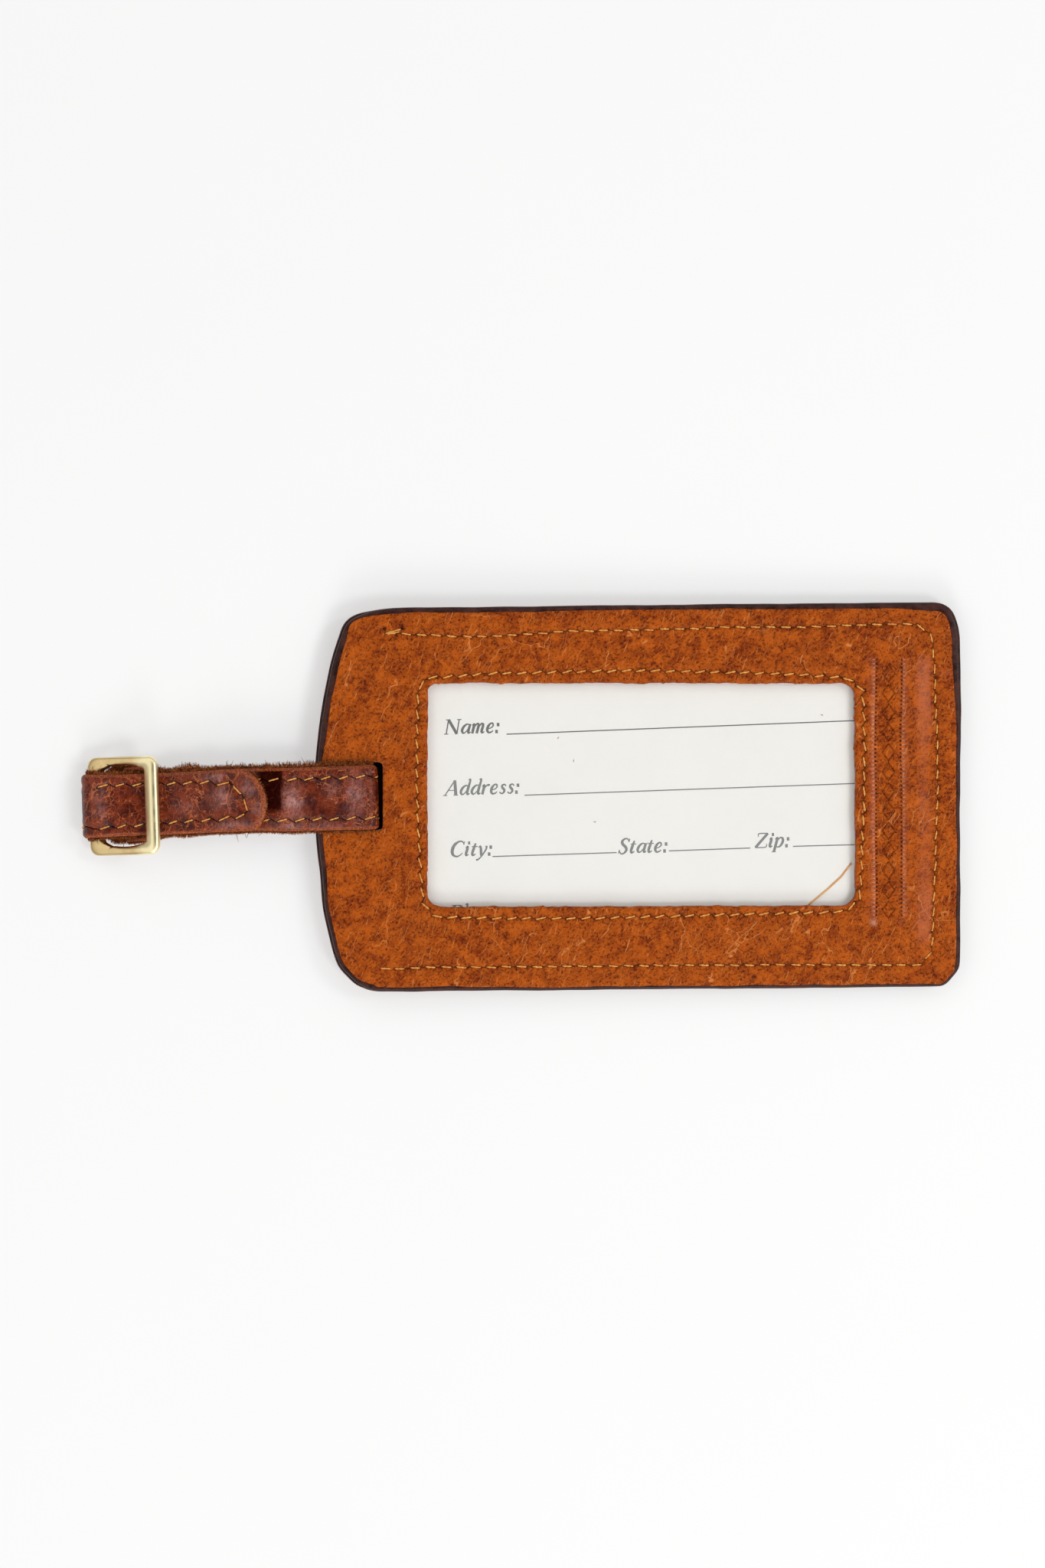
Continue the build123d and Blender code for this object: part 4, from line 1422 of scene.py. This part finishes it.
def fuzz_along(edge, sign, much):
    out = []
    d = 0.4
    while d < STRAP.length - 5:
        s = STRAP.at(d).x
        clump = 0.5 + 0.6 * wave(d, sign * 7, 1.1, 4.2) + 0.45 * wave(d, sign * 3, 4, 1.2)
        near_slot = smooth((s + 37) / 3) if d < SLOT_TOP else 0.0
        if d < SLOT_TOP + 4 or s < -28.5:
            tuft = 0.75 * bump(s, -59.5, 2.6) + 0.35 * bump(s, -40, 4)
            reach = 0.3 + (0.7 * max(0.0, clump) + 0.5 * near_slot + tuft) * much
            root = edge(d) + sign * 0.1
            for _ in range(4):
                lean, curl = rng.uniform(-0.4, 0.4), rng.uniform(-0.2, 0.25)
                far = sign * reach * rng.uniform(0.45, 1.25)
                at, h = d + rng.uniform(-0.1, 0.1), rng.uniform(-0.75, 0.0)
                out.append(fibre(at, root, h, far, lean, curl, rng.uniform(0.035, 0.08)))
            if rng.random() < 0.085 * much:
                far, h = sign * rng.uniform(0.8, 1.9), rng.uniform(-0.4, 0.2)
                out.append(fibre(d, root, h, far, rng.uniform(-0.6, 1.0), rng.uniform(0.0, 0.5), 0.09))
        d += 0.15
    return out


def tip_fibres():
    """Short fibres round the billet's tip."""
    out = []
    tip_from = along_of(-49.0, WRAP_END)
    for p, q in zip(grain_loop, grain_loop[1:]):
        if p.x > tip_from and abs(p.y) < 5.3:
            outward = -left_of(q - p).normalized()
            for _ in range(6):
                m = p.lerp(q, rng.random())
                reach, lean = rng.uniform(0.1, 0.42), rng.uniform(-0.15, 0.15)
                h = rng.uniform(-0.5, 0.35)
                path = []
                for t in (0, 0.5, 1):
                    c = m + outward * (reach * t - 0.06) + left_of(outward) * (lean * t)
                    place = on_strap(min(c.x, STRAP.length + 0.4), c.y, h)
                    path.append((place, UP, 0.045 * (1 - 0.6 * t) * MM, None))
                out.append(path)
    return out


fuzz_paths = fuzz_along(top_edge, 1, 0.9) + fuzz_along(bottom_edge, -1, 0.25) + tip_fibres()
strap_fuzz = tubes("strap_fuzz", fuzz_paths, FUZZ, sides=3)

for obj, slot, part in (
    (strap_grain, "brown_leather", "grain"),
    (strap_lining, "suede", "lining"),
    (strap_thread, "thread", "stitching"),
    (strap_fuzz, "suede", None),
):
    if part:
        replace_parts(obj, *[f"{run}_{part}" for run in ("strap_root", "strap_flex", "chape", "billet")])
    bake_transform(obj)

# ---- The skived end of the chape round the buckle's heel bar ----
TURN_R = 1.15
turn = [Vector((s, BAR_Z - TURN_R)) for s in (-62.0, -66.0, -70.0)]
turn += [BAR_MIDDLE + p for p in arc_points(TURN_R, 270, 80, 24)]
turn_end = CHAPE_START - 0.05
turn.append(Vector((turn_end, turn[-1].y - (turn_end - turn[-1].x) * math.tan(WRAP))))
TURN = Route(Route(turn).even(0.15))


def on_turn(d, v, h):
    q = TURN.at(d) + left_of(TURN.heading(d, 0.25)) * h
    return strap_point(q.x, v, q.y)


chape = Plate()
chape_edge = [Vector(p) for p in ((0, -5.5), (TURN.length, -5.5), (TURN.length, 5.55), (0, 5.55))]
chape_edge = Route(chape_edge, True).even(0.5)
chape.loop(shifted(chape_edge, lambda p: 0.1 * wave(p.x, p.y, 1.5, 8)), -0.1, 0.0, 1.0)
for d, v in grid(0.5, TURN.length - 0.4, 0.5, -5.0, 5.2, 0.9):
    chape.add(d, v, gap=0.4)
chape_turn = chape.build(
    "chape_turn", lambda d, v, lift: on_turn(d, v, 0.28 + lift), lambda d, v: on_turn(d, v, -0.29), BROWN
)
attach(chape_turn, "strap_loop")
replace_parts(chape_turn, "chape_fold")

# ---- The buckle: a cast frame with broad heel corners, an arched opening and a faceted front bar ----
LIFT = math.radians(22)
RUN = ALONG * math.cos(LIFT) + UP * math.sin(LIFT)
RISE = UP * math.cos(LIFT) - ALONG * math.sin(LIFT)
HEEL = strap_point(BAR_X, -0.15, BAR_Z)
SECTION = 20  # points round the frame's section


def on_buckle(u, v, t):
    return HEEL + (RUN * u + ACROSS * v + RISE * t) * MM


def buckle_stations():
    """Pairs of outer and inner points round half the frame, from the heel bar's middle to the front bar's.

    With each pair goes the half thickness there, and how flat the section is, from 0 to 1.
    """
    out = [((-0.8, v), (0.8, v), 0.8, 0.0) for v in (0.0, 2.0, 4.0, 5.4)]
    out += [
        ((-0.95, 5.75), (0.85, 5.75), 0.82, 0.2), ((-1.7, 6.0), (0.95, 5.95), 0.88, 0.7),
        ((-2.02, 6.35), (1.05, 6.2), 0.93, 1.0), ((-2.05, 7.0), (1.2, 6.42), 0.95, 1.0),
    ]
    for i, p in enumerate(arc_points(1.6, 180, 90, 4)):
        out.append(((-0.45 + p.x, 7.15 + p.y), (1.35 + 0.35 * i, 6.5 + 0.17 * i), 0.95, 1.0))
    wing = ((1.4, 2.8, 7.0, 0.95), (3.0, 3.6, 7.18, 0.85), (4.6, 5.04, 7.22, 0.75), (6.0, 6.3, 7.16, 0.6))
    for u, inner_u, inner_v, flat in wing + ((7.3, 7.47, 6.95, 0.5),):
        out.append(((u - 0.6, 8.75), (inner_u, inner_v), 0.95, flat))
    r = 1.75
    for i, p in enumerate(arc_points(1, 90, 0, 6)):
        outer = (11.8 - r + r * p.x, 8.75 - r + r * p.y)
        out.append((outer, (8.2 + 0.9 * p.x, 5.85 + 0.9 * p.y), 0.95, 0.35 * (1 - i / 6)))
    return out + [((11.8, v), (9.1, v), 0.95, 0.0) for v in (5.0, 3.6, 2.0, 0.0)]


FACETED = [
    (0.0, 0.0), (0.015, 0.32), (0.07, 0.62), (0.17, 0.85), (0.30, 0.97), (0.44, 1.0), (0.54, 0.96),
    (0.62, 0.83), (0.80, 0.56), (0.95, 0.28),
]
PLAIN = [
    (0.0, 0.0), (0.015, 0.4), (0.06, 0.72), (0.14, 0.9), (0.28, 0.97), (0.5, 1.0), (0.72, 0.97),
    (0.86, 0.88), (0.95, 0.68), (0.99, 0.35),
]
UNDERSIDE = [
    (1.0, 0.0), (0.98, -0.4), (0.9, -0.75), (0.75, -0.93), (0.6, -0.98), (0.45, -1.0), (0.3, -0.97),
    (0.15, -0.85), (0.06, -0.65), (0.015, -0.35),
]


def buckle_section(flat, heel):
    """Round the section: (from 0, outer, to 1, inner; height as a share of half the thickness)."""
    if heel:
        angles = [2 * math.pi * i / SECTION for i in range(SECTION)]
        return [(0.5 - 0.5 * math.cos(a), math.sin(a)) for a in angles]
    top = [(a[0] + (b[0] - a[0]) * flat, a[1] + (b[1] - a[1]) * flat) for a, b in zip(FACETED, PLAIN)]
    return top + UNDERSIDE


half = buckle_stations()
ring = half + [((o[0], -o[1]), (i[0], -i[1]), t, f) for o, i, t, f in reversed(half[1:-1])]
verts, painted_bar_highlight = [], []
for (ou, ov), (iu, iv), t, flat in ring:
    heel = abs(ov) < 5.5 and ou < 0
    thick = t * (1.0 if heel else 0.95 - 0.12 * flat)
    for w, h in buckle_section(flat, heel):
        verts.append(on_buckle(ou + (iu - ou) * w, ov + (iv - ov) * w, h * thick))
        # the front bar gets a painted highlight
        painted_bar_highlight.append(smooth((ou - 7) / 3))
faces = [(a, d, c, b) for a, b, c, d in rings_joined(len(ring), SECTION)]
buckle = piece("buckle_cast", verts, faces, BRASS, {"painted_bar_highlight": painted_bar_highlight}, sharp=0)
sub = buckle.modifiers.new("round", "SUBSURF")
sub.levels = sub.render_levels = 2
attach(buckle, "buckle")
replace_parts(buckle, "buckle_frame")

# ---- The card's printing: labels and rules that any address card has ----
# Each letter has a width and its pen strokes, in hundredths of an em. A stroke is a row of points, x, y and
# the pen's width, with commas between points and semicolons between strokes.
GLYPHS = {
    "N": (74,
        "12 0 4.5, 12 66 4.5; 12 66 10, 60 0 10; 60 0 4.5, 60 66 4.5; 2 1 3, 22 1 3; 0 65 3, "
        "17 65 3; 50 65 3, 70 65 3"
    ),
    "a": (47,
        "37 38 4, 26 43 5, 13 33 8, 7 16 9, 13 4 7, 23 6 4, 35 22 4; 40 43 8, 36 14 9, 38 3 7, "
        "47 7 3"
    ),
    "m": (66,
        "2 36 3, 9 42 6, 11 36 9, 8 0 9; 11 25 4, 22 42 6, 31 40 8, 31 28 9, 28 0 9; 31 25 4, "
        "42 42 6, 51 40 8, 51 28 9, 49 8 9, 53 2 6, 62 7 3"
    ),
    "e": (41, "10 19 3, 22 22 4, 31 31 5, 28 42 6, 18 42 6, 9 29 9, 8 12 9, 16 2 7, 28 4 5, 35 11 3"),
    ":": (26, "4 5 12, 16 5 12; 6 36 12, 18 36 12"),
    "A": (66, "3 0 4, 38 68 4.5; 37 68 10, 53 0 11; 16 23 3, 48 23 3; -5 1 3, 14 1 3; 42 1 3, 63 1 3"),
    "d": (49,
        "37 38 4, 26 43 5, 13 33 8, 7 16 9, 13 4 7, 23 6 4, 35 22 4; 33 67 3, 42 69 6, 38 35 9, "
        "36 14 9, 39 3 7, 48 7 3"
    ),
    "r": (38, "2 36 3, 9 42 6, 11 36 9, 8 0 9; 11 24 4, 21 39 5, 30 42 8, 34 38 8"),
    "s": (36, "30 34 5, 23 42 5, 13 38 7, 15 28 9, 24 19 9, 26 9 7, 17 1 5, 5 8 5"),
    "C": (63,
        "57 66 3, 55 50 3; 56 53 4, 47 65 5, 32 66 6, 14 52 10, 7 28 11, 14 7 9, 32 -1 6, 47 5 4, "
        "55 15 3"
    ),
    "i": (27, "3 36 3, 10 42 6, 12 36 9, 9 10 9, 12 2 6, 21 7 3; 10 58 11, 20 58 11"),
    "t": (32, "18 56 5, 14 36 9, 10 12 9, 14 2 7, 26 8 3; 3 41 3.5, 29 41 3.5"),
    "y": (45, "2 36 3, 9 42 6, 14 28 9, 19 4 9, 20 -2 5; 36 43 8, 38 30 6, 26 4 5, 12 -15 5, 0 -20 7"),
    "S": (48,
        "44 66 3, 42 50 3; 42 53 4, 34 65 5, 20 65 6, 11 54 9, 16 42 10, 31 28 10, 36 15 9, 27 1 6, "
        "13 0 5, 4 14 4; 5 18 3, 2 0 3"
    ),
    "Z": (60, "10 50 3, 12 64 4, 52 64 4; 51 64 9, 5 2 9; 4 2 4, 50 2 4, 54 17 3"),
    "p": (48,
        "2 36 3, 9 42 6, 11 36 9, 5 -20 9; -5 -20 3, 14 -20 3; 11 27 4, 22 42 5, 34 40 8, 38 25 9, "
        "30 6 7, 18 1 4, 9 7 4"
    ),
    "P": (56, "14 0 10, 14 66 10; 3 1 3, 27 1 3; 3 65 3, 32 65 3.5, 46 58 9, 44 40 9, 32 31 4, 16 31 3"),
    "h": (48, "7 67 3, 16 69 6, 13 36 9, 8 0 9; 11 25 4, 23 42 6, 33 39 8, 32 26 9, 29 9 9, 33 2 6, 42 7 3"),
    "o": (45, "24 43 5, 12 35 8, 7 17 9, 13 3 6, 22 1 5, 33 10 8, 37 28 9, 32 40 6, 24 43 5"),
    "n": (49, "2 36 3, 9 42 6, 11 36 9, 8 0 9; 11 25 4, 23 42 6, 33 40 8, 33 28 9, 30 8 9, 34 2 6, 43 7 3"),
}
EM = 3.95
SLANT = 0.2
PEN = 1.3
PRINT_H = 1.905
CARD_TURN = math.radians(2)


def strokes_of(text):
    return [[[float(v) / 100 for v in p.split()] for p in stroke.split(",")] for stroke in text.split(";")]


def spline(points):
    """Smooth points through a stroke's own points."""
    pts = [Vector(p) for p in points]
    if len(pts) < 3:
        return pts
    pts = [pts[0] * 2 - pts[1]] + pts + [pts[-1] * 2 - pts[-2]]
    out = []
    for p0, p1, p2, p3 in zip(pts, pts[1:], pts[2:], pts[3:]):
        for k in range(5):
            t = k / 5
            bend = (2 * p0 - 5 * p1 + 4 * p2 - p3) * t * t + (3 * p1 - p0 - 3 * p2 + p3) * t * t * t
            out.append(0.5 * (2 * p1 + (p2 - p0) * t + bend))
    out.append(pts[-2])
    return out


def ribbon(points, turn, place, verts, faces, layer):
    """A flat printed stroke of changing width. points are (x, y, width) in mm."""
    base = len(verts)
    last = len(points) - 1
    for i, p in enumerate(points):
        t = (points[min(i + 1, last)] - points[max(i - 1, 0)]).xy.normalized()
        for s in (-1, 1):
            q = Vector(place) + turned(p.xy + left_of(t) * (s * p.z / 2), turn)
            verts.append(tag_point(q.x, q.y, PRINT_H + layer * 0.0012))
    for a in range(base, base + 2 * last, 2):
        faces.append((a, a + 2, a + 3, a + 1))


def printed(name, lines, rules, ink):
    verts, faces = [], []
    layer = 0
    for text, x, y in lines:
        pen = 0.0
        for letter in text:
            width, strokes = GLYPHS[letter]
            for stroke in strokes_of(strokes):
                points = [((px + pen + py * SLANT) * EM, py * EM, w * EM * PEN) for px, py, w in stroke]
                ribbon(spline(points), CARD_TURN, (x, y), verts, faces, layer % 5)
                layer += 1
            pen += width / 100
    for x0, y0, x1, y1 in rules:
        points = [Vector((0, 0, 0.21)), Vector((math.hypot(x1 - x0, y1 - y0), 0, 0.21))]
        ribbon(points, math.atan2(y1 - y0, x1 - x0), (x0, y0), verts, faces, 0)
    obj = piece(name, verts, faces, ink, sharp=0)
    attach(obj, "card")


printed("print_upper", [("Name:", -13.6, 11.1)], [(-2.4, 11.15, 59.9, 13.6)], INK)
LOWER_LABELS = [
    ("Address:", -13.5, 0.2), ("City:", -12.5, -10.6), ("State:", 17.4, -10.1), ("Zip:", 41.7, -9.1),
    ("Phone:", -12.6, -21.9),
]
LOWER_RULES = [
    (0.8, 0.3, 59.9, 2.4), (-4.9, -10.6, 17.2, -9.9), (26.5, -9.6, 41.0, -9.1), (48.6, -8.8, 59.9, -8.5),
    (-2, -22.0, 24, -21.0),
]
printed("print_lower", LOWER_LABELS, LOWER_RULES, INK_PALE)

# ---- What the frame's own solids keep ----
for node, look in (("id_card", CARD), ("window_sheet", VINYL), ("pocket_filler", SUEDE)):
    obj = frame["nodes"][node]
    obj.data.materials.clear()
    obj.data.materials.append(look)


# ---- A few crumbs and a loose thread on the card, under the window ----
def crumb():
    x, y = rng.uniform(-14, 57), rng.uniform(-18, 18)
    a = rng.uniform(0, 6.3)
    run = Vector((math.cos(a), math.sin(a))) * 0.2
    return [(tag_point(x + k * run.x, y + k * run.y, 1.95), TAG_N, 0.05 * MM, None) for k in range(3)]


loose = tubes("loose_crumbs", [crumb() for _ in range(5)], FUZZ, sides=4)
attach(loose, "card")
line = Route([Vector(p) for p in ((59.0, -11.8), (57.2, -14.2), (54.6, -16.6), (51.4, -19.2))])
stray = [(tag_point(p.x, p.y, 1.96), TAG_N, 0.17 * MM, None) for p in line.even(0.5)]
stray = tubes("stray_thread", [stray], THREAD, sides=6)
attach(stray, "card")
